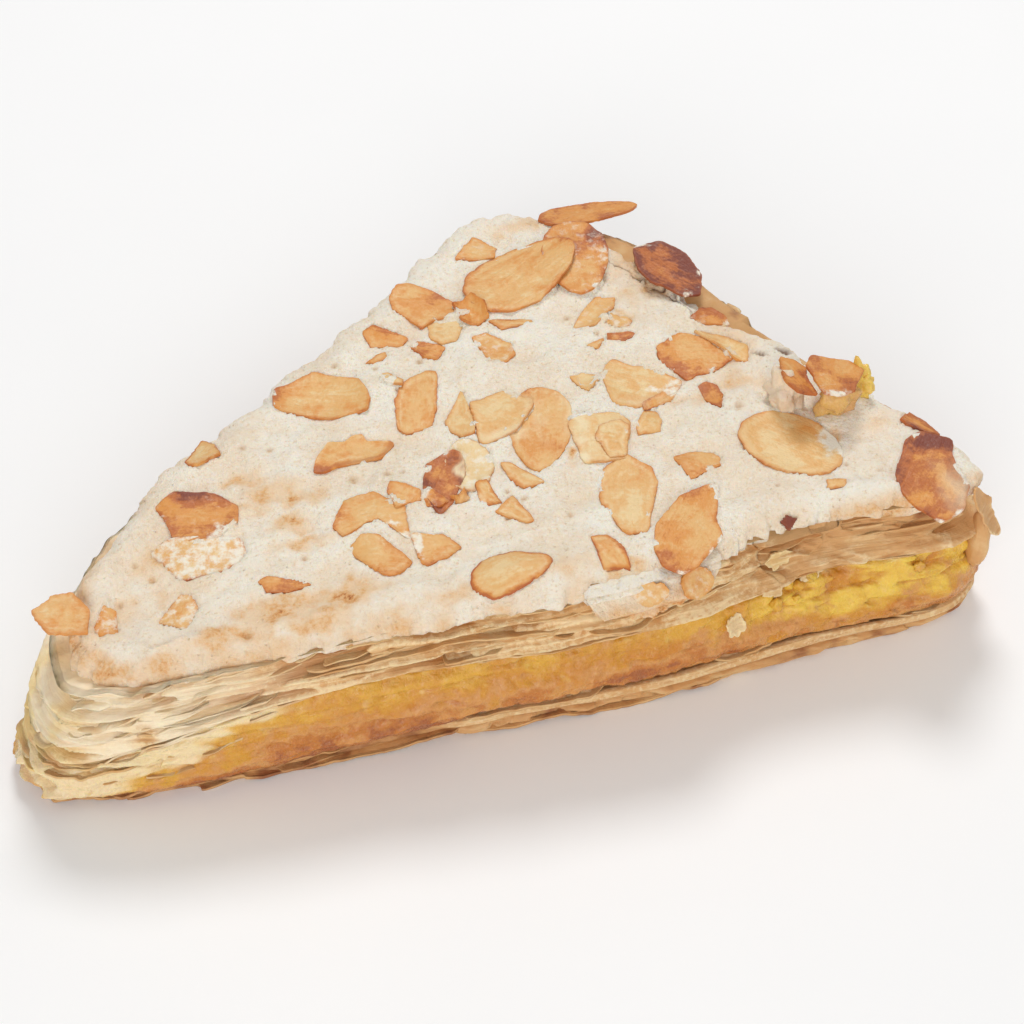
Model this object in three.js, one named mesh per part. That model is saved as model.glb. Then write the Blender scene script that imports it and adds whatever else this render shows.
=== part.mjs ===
// A jesuite: a triangle of puff pastry filled with almond cream, iced with royal icing and
// scattered with flaked almonds. Millimetres, +Z up. The long cut side faces -Y, and its
// narrow tip points to -X. It rests on the flat underside of the bottom pastry.
import * as THREE from "three";
import { ParametricGeometry } from "three/addons/geometries/ParametricGeometry.js";

const { lerp, smoothstep, degToRad } = THREE.MathUtils;

// Heights of the layers, from the table up.
const CRUST_SKIRT = 1.6; // bottom pastry below the cream that has run over it
const CRUST_OPEN = 5.4; // bottom pastry where its leaves show
const CREAM_TIP = 7; // top of the cream at the narrow tip
const CREAM_RISE = 10; // and how much higher it is over most of the length
const LID_RIM = 27; // top of the upper pastry at its rim
const TIP_DROP = 2.4; // how much lower it is at the narrow tip
const DOME = 1.8; // how much higher it stands in the middle
const ICING = 1.1;
const ICING_ROLL = 1.4; // extra thickness where the icing has run to the tip
const GAP = 0.3; // clearance between layers that touch
const LEAVES = 3; // the leaves the upper pastry has split into

// The plan of the cut triangle, tip first and then anticlockwise, on the table and at the
// icing. The tip leans in towards the top, and the corners are blunt.
const BASE_OUTLINE = [
  [-75, -29.5], [-72, -39], [-56, -42.6], [-17, -44], [20, -45], [50, -43.2], [69, -42], [76, -35],
  [68, -14], [56, 8], [45, 28], [33, 41], [18, 42], [-4, 28], [-30, 8], [-57, -13],
];
const TOP_OUTLINE = [
  [-66, -29.5], [-63.5, -41.5], [-50, -44], [-14, -44], [18, -44.5], [44, -40], [64, -41.5], [72.5, -38.5],
  [64.5, -19], [53, 3.5], [44.5, 21.5], [33, 36.5], [17, 41.5], [-4.5, 25], [-28, 7.5], [-54, -12],
];
const MIDDLE = new THREE.Vector2(8, -12);
const SIDE_BULGE = 1.6;
const ALL_ROUND = 72; // facets round the outline

// One of these is a flaked almond: where its middle lies, its length and width, the way its
// length points, how it is tilted about its length and its width, how it tapers and curls,
// and where it has snapped off, as [direction in degrees, share of the half size].
const FLAKES = [
  { at: [33.8, 36.3], size: [17.5, 7.5], turn: -2, roll: -14 },
  { at: [28, 24.5], size: [19, 11], turn: -101, roll: 2 },
  { at: [18.3, 23.2], size: [22, 13.5], turn: 26, roll: -3 },
  { at: [2.4, 13.6], size: [8.5, 5.6], turn: 80, breaks: [[0, 0.6], [180, 0.6]] },
  { at: [1.7, 20.2], size: [14, 9], turn: -28, taper: 0.35 },
  { at: [11, 31], size: [8, 6], turn: 8, breaks: [[200, 0.5]] },
  { at: [42, 17.3], size: [15.5, 12], turn: -61, roll: -6 },
  { at: [40, -2.5], size: [15, 11], turn: -12, taper: 0.1 },
  { at: [45.5, -1.5], size: [9.5, 6], turn: -45, breaks: [[-90, 0.4]] },
  { at: [30, -5.5], size: [14.5, 9.5], turn: -19, breaks: [[25, 0.6], [-30, 0.75]] },
  { at: [-19, 4.5], size: [17, 11], turn: -15, taper: -0.2, breaks: [[0, 0.86]] },
  { at: [-18.2, -9.5], size: [14, 7.5], turn: 10, roll: 24, curl: 0.9, breaks: [[-70, 0.6]] },
  { at: [-5.2, -1.2], size: [13.5, 7.8], turn: -100, taper: 0.05, breaks: [[180, 0.8]] },
  { at: [0.5, -8.7], size: [10.5, 6.5], turn: -102, breaks: [[75, 0.3]] },
  { at: [10.9, -12.5], size: [18.5, 10], turn: -108, roll: 5 },
  { at: [5.6, -8.8], size: [12, 11], turn: 12, taper: -0.1, breaks: [[165, 0.75], [40, 0.6]] },
  { at: [18.8, -16.4], size: [11.5, 9.5], turn: -25, breaks: [[70, 0.5], [150, 0.8]] },
  { at: [21.5, -17.6], size: [8, 6.5], turn: -60, breaks: [[160, 0.7]] },
  { at: [-1.7, -17.5], size: [11, 7.5], turn: -100, taper: 0.05 },
  { at: [-19, -22.5], size: [14, 9.5], turn: -8, breaks: [[-60, 0.8]] },
  { at: [-6.8, -19], size: [14.5, 8.5], turn: -115, roll: 15, breaks: [[200, 0.75]] },
  { at: [20, -30.3], size: [17.5, 10], turn: -106, taper: 0.1 },
  { at: [26, -39.8], size: [17, 10], turn: -133, taper: 0.25, roll: 3, breaks: [[178, 0.8]] },
  { at: [-1.6, -40.3], size: [12.5, 8], turn: 6, roll: -3, breaks: [[62, 0.85]] },
  { at: [46.6, -26.1], size: [17, 12.5], turn: -46, taper: 0.05 },
  { at: [50, -17.7], size: [12, 7], turn: -72, roll: -22, pitch: 6, breaks: [[180, 0.6]] },
  { at: [55.5, -19.3], size: [12.5, 11], turn: -48, roll: -14, pitch: 4, breaks: [[190, 0.6]] },
  { at: [64.8, -36], size: [16.5, 12.4], turn: -98, taper: -0.15, roll: -6, breaks: [[40, 0.7], [180, 0.75]] },
  { at: [-42.8, -15.4], size: [14, 10.8], turn: -18, taper: -0.1 },
  { at: [-63, -30.6], size: [12.5, 8], turn: 172, taper: -0.2, pitch: -4, breaks: [[180, 0.7]] },
  { at: [-17.9, -30], size: [12, 9.5], turn: -30, taper: -0.1, breaks: [[110, 0.6]] },
  { at: [-11.3, -32.8], size: [9, 6.5], turn: -20, breaks: [[150, 0.7]] },
];
const FLAKE_THICKNESS = 0.95;
const FLAKE_BEVEL = 0.22;
const FLAKE_POINTS = 14;

// Two flakes have slid over the edge with the icing and hang against the cut side.
const HANGING_FLAKES = [
  { at: [17.6, -46.6, 26.2], size: [5.4, 3.6], turn: -8, lean: 58 },
  { at: [24.4, -46.4, 26.3], size: [5.8, 4.8], turn: 20, lean: 55 },
];

// A broken lump of cream that sits on the icing under two raised flakes.
const LUMP_SIZE = [17, 8, 4];
const LUMP_AT = [53.4, -18.2];
const LUMP_TURN = -40;

const HELD_AT = 80; // height from which pieces are laid on the icing

const looks = {
  crust: { color: 0xb98a52, roughness: 0.75 },
  cream: { color: 0xdca53a, roughness: 0.5 },
  pastry: { color: 0xe2c48e, roughness: 0.8 },
  icing: { color: 0xf1e2cb, roughness: 0.75 },
  almond: { color: 0xdfa565, roughness: 0.5 },
};

const curveOf = (points) =>
  new THREE.CatmullRomCurve3(points.map(([x, y]) => new THREE.Vector3(x, y, 0)), true, "centripetal");
const baseCurve = curveOf(BASE_OUTLINE);
const topCurve = curveOf(TOP_OUTLINE);

// The tops of the bottom pastry, the cream and the upper pastry, over the plan.
const crustTop = (x) => {
  const shown = smoothstep(x, -50, 4) * (1 - 0.4 * smoothstep(x, 15, 70));
  return lerp(CRUST_SKIRT, CRUST_OPEN, shown);
};
const creamTop = (x) => CREAM_TIP + CREAM_RISE * smoothstep(x, -82, -32);
const dome = (x, y) => DOME * Math.max(0, 1 - ((x - 5) / 80) ** 2 - ((y + 8) / 55) ** 2);
const swell = (x, y) => 0.3 * Math.sin(x / 9 + 0.6) * Math.cos(y / 7) + 0.2 * Math.sin(x / 4 - y / 5);
const towardsTip = (x) => 1 - smoothstep(x, -62, 12);
const lidTop = (x, y) => LID_RIM - TIP_DROP * towardsTip(x) + dome(x, y) + swell(x, y);
const icingTop = (x, y) => lidTop(x, y) + GAP + ICING + ICING_ROLL * towardsTip(x);

// The rim of the pastry at a height: it leans from the base outline to the top one, bulges
// between them, and is pushed out by a further amount.
function rimAt(turn, height, push) {
  const share = THREE.MathUtils.clamp(height / (LID_RIM + ICING), 0, 1);
  const low = baseCurve.getPoint(turn);
  const high = topCurve.getPoint(turn);
  const spot = new THREE.Vector2(lerp(low.x, high.x, share), lerp(low.y, high.y, share));
  const outward = spot.clone().sub(MIDDLE).normalize();
  return spot.addScaledVector(outward, push + SIDE_BULGE * Math.sin(Math.PI * share));
}

// Waves round the outline, for edges that are cut and baked unevenly.
const waver = (turn, waves, phase) => Math.sin(2 * Math.PI * waves * turn + phase);
const ragged = (turn, phase) =>
  0.5 * waver(turn, 7, phase) + 0.3 * waver(turn, 17, 2 * phase) + 0.2 * waver(turn, 31, 3 * phase);

// How far the icing stays back from the rim: at the narrow tip and along the short side,
// where the browned shoulder of the pastry shows.
const bareAt = (t) => {
  const tip = Math.max(1 - smoothstep(t, 0.06, 0.13), smoothstep(t, 0.96, 1));
  const shortSide = smoothstep(t, 0.47, 0.53) * (1 - smoothstep(t, 0.65, 0.72));
  return 2.6 * tip + 3 * shortSide;
};

// The edges along which one layer meets the next.
const crustEdge = (t) => -0.6 + 0.3 * ragged(t, 3);
const creamEdge = (t) => -1 + 0.4 * ragged(t, 8);
const lidEdge = (t) => -0.2 + 0.7 * ragged(t, 17) - bareAt(t);

// One layer of the pastry as a closed surface, from the middle of its underside, round its
// side and back to the middle of its top. Each row of the side says how far up it is, as a
// share of the layer's thickness, and how far it stands out. Where two layers meet, both run
// straight from the middle to the rim.
function layer({ under, over, rows, ringsOver = 1 }) {
  const stations = [{ share: 0, reach: 0, out: rows[0].out }];
  for (const row of rows) stations.push({ share: row.up, reach: 1, out: row.out });
  for (let ring = ringsOver - 1; ring >= 0; ring--)
    stations.push({ share: 1, reach: ring / ringsOver, out: rows[rows.length - 1].out });
  const last = stations.length - 1;
  return new ParametricGeometry(
    (turn, along, target) => {
      const { share, reach, out } = stations[Math.round(along * last)];
      const heightOver = (x, y) => lerp(under(x, y), over(x, y), share);
      const guess = rimAt(turn, heightOver(MIDDLE.x, MIDDLE.y), 0);
      const rim = rimAt(turn, heightOver(guess.x, guess.y), out(turn % 1));
      const x = lerp(MIDDLE.x, rim.x, reach);
      const y = lerp(MIDDLE.y, rim.y, reach);
      target.set(x, y, heightOver(x, y));
    },
    ALL_ROUND,
    last,
  );
}

function crust() {
  const rows = [
    { up: 0, out: (t) => -1.6 + 0.5 * ragged(t, 1) },
    { up: 0.25, out: (t) => 0 + 0.6 * ragged(t, 2) },
    { up: 0.5, out: (t) => -1.2 + 0.3 * ragged(t, 2.5) },
    { up: 0.75, out: (t) => -0.1 + 0.4 * ragged(t, 3) },
    { up: 1, out: crustEdge },
  ];
  return layer({ under: () => 0, over: crustTop, rows });
}

function cream() {
  const rows = [
    { up: 0, out: crustEdge },
    { up: 0.22, out: (t) => 0.9 + 0.5 * ragged(t, 5) },
    { up: 0.5, out: (t) => 0.5 + 0.6 * ragged(t, 6) },
    { up: 0.8, out: (t) => -0.3 + 0.6 * ragged(t, 7) },
    { up: 1, out: creamEdge },
  ];
  return layer({ under: (x) => crustTop(x) + GAP, over: creamTop, rows });
}

// The upper pastry has split into leaves: its side steps in and out.
function lid() {
  const rows = [{ up: 0, out: creamEdge }];
  for (let leaf = 0; leaf < LEAVES; leaf++) {
    const edge = (t) => 0.1 + 0.8 * ragged(t, 9 + leaf);
    const split = (t) => -1.4 + 0.5 * ragged(t, 13 + leaf);
    rows.push({ up: (leaf + 0.25) / (LEAVES + 0.4), out: edge });
    rows.push({ up: (leaf + 0.8) / (LEAVES + 0.4), out: split });
  }
  rows.push({ up: 0.92, out: (t) => -0.1 + 0.6 * ragged(t, 17) }, { up: 1, out: lidEdge });
  return layer({ under: (x) => creamTop(x) + GAP, over: lidTop, rows });
}

function icing() {
  const rows = [
    { up: 0, out: lidEdge },
    { up: 0.6, out: (t) => 0.4 + 0.9 * ragged(t, 18) - bareAt(t) },
    { up: 1, out: (t) => -0.7 + 0.9 * ragged(t, 18) - bareAt(t) },
  ];
  return layer({ under: (x, y) => lidTop(x, y) + GAP, over: icingTop, rows, ringsOver: 6 });
}

// The part of a polygon on the near side of a line across it.
function snapOff(points, direction, reach) {
  const across = new THREE.Vector2(Math.cos(degToRad(direction)), Math.sin(degToRad(direction)));
  const kept = [];
  points.forEach((here, i) => {
    const next = points[(i + 1) % points.length];
    const a = here.dot(across) - reach;
    const b = next.dot(across) - reach;
    if (a <= 0) kept.push(here);
    if (a < 0 !== b < 0) kept.push(here.clone().lerp(next, a / (a - b)));
  });
  return kept;
}

// A slice of almond lying flat with its middle at the origin: an egg-shaped outline, less what
// has snapped off, given its thickness and curled along its length.
function flakeShape({ size, taper = 0.2, curl = 0.25, breaks = [] }) {
  const [length, width] = size;
  let outline = [];
  for (let i = 0; i < FLAKE_POINTS; i++) {
    const a = (2 * Math.PI * i) / FLAKE_POINTS;
    const y = (width / 2) * Math.sin(a) * (1 - taper * Math.cos(a));
    outline.push(new THREE.Vector2((length / 2) * Math.cos(a), y));
  }
  for (const [direction, share] of breaks) {
    const a = degToRad(direction);
    const half = Math.hypot((length / 2) * Math.cos(a), (width / 2) * Math.sin(a));
    outline = snapOff(outline, direction, share * half);
  }
  outline = outline.filter((p, i) => p.distanceTo(outline[(i + 1) % outline.length]) > 0.35);
  const flake = new THREE.ExtrudeGeometry(new THREE.Shape(outline), {
    depth: FLAKE_THICKNESS - 2 * FLAKE_BEVEL,
    bevelThickness: FLAKE_BEVEL,
    bevelSize: FLAKE_BEVEL,
    bevelOffset: -FLAKE_BEVEL,
    bevelSegments: 1,
  });
  flake.translate(0, 0, FLAKE_BEVEL);
  const spots = flake.getAttribute("position");
  for (let i = 0; i < spots.count; i++) {
    const along = spots.getX(i) / (length / 2);
    spots.setZ(i, spots.getZ(i) + curl * along * along);
  }
  return flake;
}

function mesh(name, geometry, look) {
  const made = new THREE.Mesh(geometry, new THREE.MeshStandardMaterial({ metalness: 0, ...looks[look] }));
  made.name = name;
  return made;
}

// How far a piece can fall before it meets the pile: down from its corners, and up from the
// corners of the pile.
function clearFall(piece, pile) {
  const ray = new THREE.Raycaster();
  const start = new THREE.Vector3();
  const shadow = new THREE.Box3().setFromObject(piece);
  shadow.min.z = -Infinity;
  let fall = Infinity;
  const measure = (from, direction, targets) => {
    const spots = from.geometry.getAttribute("position");
    for (let i = 0; i < spots.count; i++) {
      start.fromBufferAttribute(spots, i).applyMatrix4(from.matrixWorld);
      if (!shadow.containsPoint(start)) continue;
      ray.set(start, new THREE.Vector3(0, 0, direction));
      const [hit] = ray.intersectObjects(targets);
      if (hit) fall = Math.min(fall, hit.distance);
    }
  };
  measure(piece, -1, pile);
  pile.forEach((lower) => measure(lower, 1, [piece]));
  return fall;
}

// Lays a piece on the pile at a place.
function lay(piece, [x, y], pile) {
  piece.position.set(x, y, HELD_AT);
  piece.updateMatrixWorld();
  piece.position.z -= clearFall(piece, pile) - GAP;
  piece.updateMatrixWorld();
  pile.push(piece);
}

function flakePiece(flake, name) {
  const { roll = 0, pitch = 0, turn } = flake;
  const shape = flakeShape(flake);
  shape.rotateX(degToRad(roll)).rotateY(degToRad(pitch)).rotateZ(degToRad(turn));
  return mesh(name, shape, "almond");
}

function hangFlake(flake, name) {
  const made = mesh(name, flakeShape(flake), "almond");
  made.rotation.set(degToRad(flake.lean), degToRad(flake.turn), 0);
  made.position.set(...flake.at);
  return made;
}

// An uneven lump: a faceted ball, knocked about and flattened underneath.
function lump() {
  const shape = new THREE.IcosahedronGeometry(0.5, 2);
  const spots = shape.getAttribute("position");
  const spot = new THREE.Vector3();
  for (let i = 0; i < spots.count; i++) {
    spot.fromBufferAttribute(spots, i);
    const rough = 1 + 0.16 * Math.sin(11 * spot.x + 1) * Math.cos(9 * spot.y) + 0.1 * Math.sin(17 * spot.z);
    spot.multiplyScalar(rough);
    spots.setXYZ(i, spot.x, spot.y, Math.max(spot.z, -0.3));
  }
  return mesh("cream_lump", shape.scale(...LUMP_SIZE).rotateZ(degToRad(LUMP_TURN)), "cream");
}

const glaze = mesh("royal_icing", icing(), "icing");
glaze.updateMatrixWorld();
const pile = [glaze];
lay(lump(), LUMP_AT, pile);
FLAKES.forEach((flake, i) => {
  const name = `almond_flake_${String(i + 1).padStart(2, "0")}`;
  lay(flakePiece(flake, name), flake.at, pile);
});

const jesuite = new THREE.Group();
jesuite.add(
  mesh("bottom_pastry", crust(), "crust"),
  mesh("almond_cream", cream(), "cream"),
  mesh("top_pastry", lid(), "pastry"),
  ...pile,
  ...HANGING_FLAKES.map((flake, i) => hangFlake(flake, `hanging_flake_${i + 1}`)),
);

// The origin is at the middle of the underside.
const box = new THREE.Box3().setFromObject(jesuite);
const centre = box.getCenter(new THREE.Vector3());
jesuite.children.forEach((piece) => piece.position.sub(new THREE.Vector3(centre.x, centre.y, box.min.z)));

export default jesuite;
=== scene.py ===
"""A jesuite: leaves of puff pastry round almond cream, under icing and flaked almonds.

Sizes are in millimetres until they are put into a mesh, which is in metres. The layers' places
come from the frame's own nodes, measured with rays.
"""
import math

import bpy
import numpy as np
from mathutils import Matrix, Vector
from mathutils.bvhtree import BVHTree
from mathutils.geometry import convex_hull_2d
from mathutils.kdtree import KDTree


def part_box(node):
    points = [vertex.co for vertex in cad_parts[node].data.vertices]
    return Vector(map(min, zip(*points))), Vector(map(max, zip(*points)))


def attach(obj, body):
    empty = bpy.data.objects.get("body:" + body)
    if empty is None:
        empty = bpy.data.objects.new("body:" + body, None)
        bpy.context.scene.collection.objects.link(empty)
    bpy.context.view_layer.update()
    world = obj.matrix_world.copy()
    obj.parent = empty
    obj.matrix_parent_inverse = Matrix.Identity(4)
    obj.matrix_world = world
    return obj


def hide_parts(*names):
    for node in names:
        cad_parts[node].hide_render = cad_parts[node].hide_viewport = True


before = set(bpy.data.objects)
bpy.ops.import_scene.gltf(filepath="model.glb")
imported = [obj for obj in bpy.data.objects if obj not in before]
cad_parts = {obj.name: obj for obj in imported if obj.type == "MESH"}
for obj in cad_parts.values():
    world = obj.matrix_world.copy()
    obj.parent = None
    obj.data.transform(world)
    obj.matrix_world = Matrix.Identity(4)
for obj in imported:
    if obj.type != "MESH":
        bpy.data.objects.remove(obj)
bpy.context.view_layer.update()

MM = 0.001
BODY = "root"
MIDDLE = np.array([7.0, -9.0])  # a spot well inside every layer, from which the sides are measured
STATIONS = 1100  # round the pastry
FAR = 150.0  # beyond every layer
DOWN = np.array([0, 0, -1.0])
CREAM_MID = 11.0  # a height about half way up the cream
CLEAR = 2.2  # how far the pastry keeps under the icing
GRAIN = 0.42  # how fine the icing's mesh is
CRUST, CREAM, PASTRY, ICING, LUMP = (
    "bottom_pastry", "almond_cream", "top_pastry", "royal_icing", "cream_lump")
FLAKES = sorted(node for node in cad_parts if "flake" in node)


# ---------------------------------------------------------------- shaping tools

def grab(*pieces):
    bpy.ops.object.select_all(action="DESELECT")
    for piece in pieces:
        piece.select_set(True)
    bpy.context.view_layer.objects.active = pieces[-1]


def spots(piece):
    """Where a piece's vertices are, in millimetres."""
    flat = np.empty(len(piece.data.vertices) * 3)
    piece.data.vertices.foreach_get("co", flat)
    return flat.reshape(-1, 3) / MM


def put(piece, places):
    piece.data.vertices.foreach_set("co", (np.asarray(places) * MM).ravel())
    piece.data.update()


def facing(piece):
    """Which way a piece's surface faces at each vertex."""
    flat = np.empty(len(piece.data.vertices) * 3)
    piece.data.vertex_normals.foreach_get("vector", flat)
    return flat.reshape(-1, 3)


def note(piece, **values):
    """Keeps values for each vertex, which the finishes read."""
    for name, value in values.items():
        kept = piece.data.attributes.get(name) or piece.data.attributes.new(name, "FLOAT", "POINT")
        kept.data.foreach_set("value", np.broadcast_to(value, len(piece.data.vertices)).astype(np.float32))


def step(low, high, values):
    share = np.clip((values - low) / (high - low), 0, 1)
    return share * share * (3 - 2 * share)


def dice(cells, seed):
    """A fixed random direction at each whole-number place."""
    mixed = np.uint32(seed * 7919 + 13)
    for axis, prime in enumerate((374761393, 668265263, 2246822519)):
        mixed = mixed + cells[..., axis].astype(np.int64).astype(np.uint32) * np.uint32(prime)
        mixed = (mixed ^ (mixed >> np.uint32(13))) * np.uint32(1274126177)
    mixed = mixed ^ (mixed >> np.uint32(16))
    turn = (mixed & np.uint32(0xFFFF)) / 65536 * 2 * math.pi
    rise = (mixed >> np.uint32(16)) / 32768 - 1
    flat = np.sqrt(np.maximum(0, 1 - rise * rise))
    return np.stack([flat * np.cos(turn), flat * np.sin(turn), rise], -1)


def uneven(places, size, seed, layers=1):
    """Smooth unevenness from about -1 to 1, in lumps of a size, with finer lumps on them."""
    total, weight = np.zeros(places.shape[:-1]), 1.0
    for layer in range(layers):
        scaled = places / np.asarray(size) * 2 ** layer + 37.7 * layer
        low = np.floor(scaled).astype(np.int64)
        part = scaled - low
        ease = part ** 3 * (part * (part * 6 - 15) + 10)
        for corner in range(8):
            offset = np.array([corner & 1, corner >> 1 & 1, corner >> 2])
            pull = (dice(low + offset, seed + layer) * (part - offset)).sum(-1)
            share = np.where(offset == 1, ease, 1 - ease).prod(-1)
            total += 1.6 * weight * pull * share
        weight *= 0.5
    return total


def begin(name, add, **settings):
    """A primitive to shape, under its piece's name."""
    bpy.ops.object.select_all(action="DESELECT")
    add(**settings)
    piece = bpy.context.object
    piece.name = piece.data.name = name
    return piece


def edit(piece, *acts):
    """Does some steps to the whole of a piece in edit mode."""
    grab(piece)
    bpy.ops.object.mode_set(mode="EDIT")
    bpy.ops.mesh.select_all(action="SELECT")
    for act in acts:
        act()
    bpy.ops.object.mode_set(mode="OBJECT")


def merge(gap):
    bpy.ops.mesh.remove_doubles(threshold=gap * MM)


def face_out():
    bpy.ops.mesh.normals_make_consistent(inside=False)


def finish_with(piece, kind, **settings):
    """Adds a modifier to a piece and applies it."""
    grab(piece)
    added = piece.modifiers.new(kind.title(), kind)
    for key, value in settings.items():
        setattr(added, key, value)
    bpy.ops.object.modifier_apply(modifier=added.name)


def tree_of(*pieces):
    """A tree for measuring pieces with rays, in millimetres."""
    places, faces = [], []
    for piece in pieces:
        start = len(places)
        places += spots(piece).tolist()
        faces += [[start + corner for corner in face.vertices] for face in piece.data.polygons]
    return BVHTree.FromPolygons(places, faces)


def hit_from(tree, starts, ways):
    """How far along its way each ray meets the tree, or nan."""
    ways = np.broadcast_to(ways, starts.shape)
    found = [tree.ray_cast(Vector(a), Vector(b))[3] for a, b in zip(starts.tolist(), ways.tolist())]
    return np.array([np.nan if distance is None else distance for distance in found])


def show(piece, slot, finish, *nodes, angle=None):
    """A finished piece: its shading, material and body, and the frame nodes it stands for. The slot is not
    used.
    """
    grab(piece)
    if angle:
        bpy.ops.object.shade_smooth_by_angle(angle=math.radians(angle))
    else:
        bpy.ops.object.shade_smooth()
    piece.data.materials.clear()
    piece.data.materials.append(finish)
    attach(piece, BODY)
    if nodes:
        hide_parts(*nodes)
    return piece


# ---------------------------------------------------------------- measuring the frame

solid = {node: tree_of(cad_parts[node]) for node in (CRUST, CREAM, PASTRY, ICING)}


def outwards(turns):
    return np.stack([np.cos(turns), np.sin(turns), 0 * turns], 1)


def reach(node, turns, heights):
    """How far a layer's side is from the middle, at each turn and height."""
    ways = outwards(turns)
    starts = ways * FAR
    starts[:, :2] += MIDDLE
    starts[:, 2] = heights
    found = FAR - hit_from(solid[node], starts, -ways)
    return np.where(found > 0, found, np.nan)  # a ray that passes over the layer may meet its far side


def heights_over(tree, places, down=True):
    """Where rays from above, or from below, meet a tree over the places' plan, or nan."""
    starts = places * (1, 1, 0) + (0, 0, FAR if down else -FAR)
    distance = hit_from(tree, starts, DOWN if down else -DOWN)
    return FAR - distance if down else distance - FAR


def rows_of(node, inset=2.5):
    """The underside and the top of a layer near its rim, at each station."""
    low, high = (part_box(node)[end].z / MM for end in (0, 1))
    distance = rim_of(node) if node == ICING else reach(node, TURNS, np.full(STATIONS, (low + high) / 2))
    return [heights_over(solid[node], ring(distance - inset, 0), down) for down in (False, True)]


def even_turns():
    """Turns that are the same distance apart along the pastry's side."""
    turns = np.linspace(-math.pi, math.pi, 4 * STATIONS, endpoint=False)
    distance = reach(CREAM, turns, np.full(len(turns), CREAM_MID))
    line = outwards(turns) * distance[:, None]
    gaps = np.linalg.norm(np.roll(line, -1, 0) - line, axis=1)
    along = np.concatenate([[0], np.cumsum(gaps)[:-1]])
    wanted = np.linspace(0, along[-1] + gaps[-1], STATIONS, endpoint=False)
    return np.interp(wanted, along, turns)


TURNS = even_turns()
WAYS = outwards(TURNS)


def evened(found):
    """A measure at each station, blurred a little along the side."""
    weights = np.exp(-(np.arange(-6, 7) / 3) ** 2)
    return np.convolve(np.concatenate([found[-6:], found, found[:6]]), weights / weights.sum(), "valid")


def side_of(node, heights):
    """A layer's side at each station, filled in where the rays miss it."""
    found = reach(node, TURNS, heights)
    known = np.nonzero(~np.isnan(found))[0]
    return evened(np.interp(np.arange(STATIONS), known, found[known], period=STATIONS))


def rim_of(node):
    """How far a thin layer reaches over the plan at each station."""
    found = np.full(STATIONS, 12.0)
    for stride, tries in ((5.0, 15), (1.0, 4), (0.25, 3)):
        for _ in range(tries):
            met = ~np.isnan(heights_over(solid[node], ring(found + stride, 0)))
            found = np.where(met, found + stride, found)
    return evened(found)


def ring(distance, heights):
    """The points of one row round the pastry."""
    line = WAYS * distance[:, None]
    line[:, :2] += MIDDLE
    line[:, 2] = heights
    return line


def band(name, rows, **values):
    """A sheet that goes round the pastry: a grid laid along the rows, and joined end to end."""
    piece = begin(name, bpy.ops.mesh.primitive_grid_add,
                  x_subdivisions=len(rows) - 1, y_subdivisions=STATIONS)
    put(piece, np.concatenate([rows, rows[:, :1]], 1).transpose(1, 0, 2).reshape(-1, 3))
    for value, known in values.items():
        rim = (len(rows) - len(known)) // 2
        padded = np.pad(known, ((rim, rim), (0, 0)))
        note(piece, **{value: np.concatenate([padded, padded[:, :1]], 1).T.ravel()})
    edit(piece, lambda: merge(0.003), face_out)
    return piece


# ---------------------------------------------------------------- finishes

class Finish:
    """A material: a base colour with stains laid over it, by measures that each call gives back."""

    def __init__(self, name):
        self.material = bpy.data.materials.new(name)
        self.material.use_nodes = True
        self.tree = self.material.node_tree
        self.shader = self.tree.nodes["Principled BSDF"]
        place = self.node("TexCoord").outputs["Object"]
        self.place = self.node("Mapping", {"Vector": place, "Scale": (1 / MM,) * 3}).outputs["Vector"]

    def node(self, kind, inputs=None, **settings):
        made = self.tree.nodes.new("ShaderNode" + kind)
        for key, value in settings.items():
            setattr(made, key, value)
        for key, value in (inputs or {}).items():
            self.feed(made.inputs[key], value)
        return made

    def feed(self, socket, value):
        if isinstance(value, bpy.types.NodeSocket):
            self.tree.links.new(value, socket)
        elif isinstance(value, tuple) and len(value) == 3 and socket.type == "RGBA":
            socket.default_value = (*value, 1)
        else:
            socket.default_value = value

    def noise(self, size, detail=3.0, roughness=0.55, warp=0.0, place=None):
        """Unevenness from 0 to 1 with lumps of a size, in millimetres."""
        made = self.node("TexNoise", {"Vector": place or self.place, "Scale": 1 / size,
                                      "Detail": detail, "Roughness": roughness, "Distortion": warp})
        return made.outputs["Fac"]

    def cells(self, size):
        return self.node("TexVoronoi", {"Vector": self.place, "Scale": 1 / size}).outputs["Distance"]

    def noted(self, name):
        return self.node("Attribute", attribute_name=name).outputs["Fac"]

    def spread(self, value, low, high, to_low=0.0, to_high=1.0):
        made = self.node("MapRange", {0: value, 1: low, 2: high, 3: to_low, 4: to_high}, clamp=True,
                         interpolation_type="SMOOTHSTEP")
        return made.outputs[0]

    def plus(self, one, other):
        return self.node("Math", {0: one, 1: other}, operation="ADD").outputs[0]

    def times(self, one, other):
        return self.node("Math", {0: one, 1: other}, operation="MULTIPLY").outputs[0]

    def stain(self, color, value, *reach):
        """Lays a colour over the base by a value, or where the value rises through a reach."""
        share = self.spread(value, *reach) if reach else value
        self.base = self.node("Mix", {0: share, 6: self.base, 7: color}, data_type="RGBA").outputs[2]

    def finish(self, roughness, relief, depth, softness=0.0, radius=(1.0, 0.6, 0.3)):
        """Sets the shader: relief is the height of the fine surface in millimetres."""
        bump = self.node("Bump", {"Height": relief, "Distance": depth * MM, "Strength": 1.0})
        sockets = {"Base Color": self.base, "Roughness": roughness, "Normal": bump.outputs["Normal"]}
        if softness:
            sockets |= {"Subsurface Weight": softness, "Subsurface Radius": radius, "Subsurface Scale": MM}
        for name, value in sockets.items():
            self.feed(self.shader.inputs[name], value)
        return self.material


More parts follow.
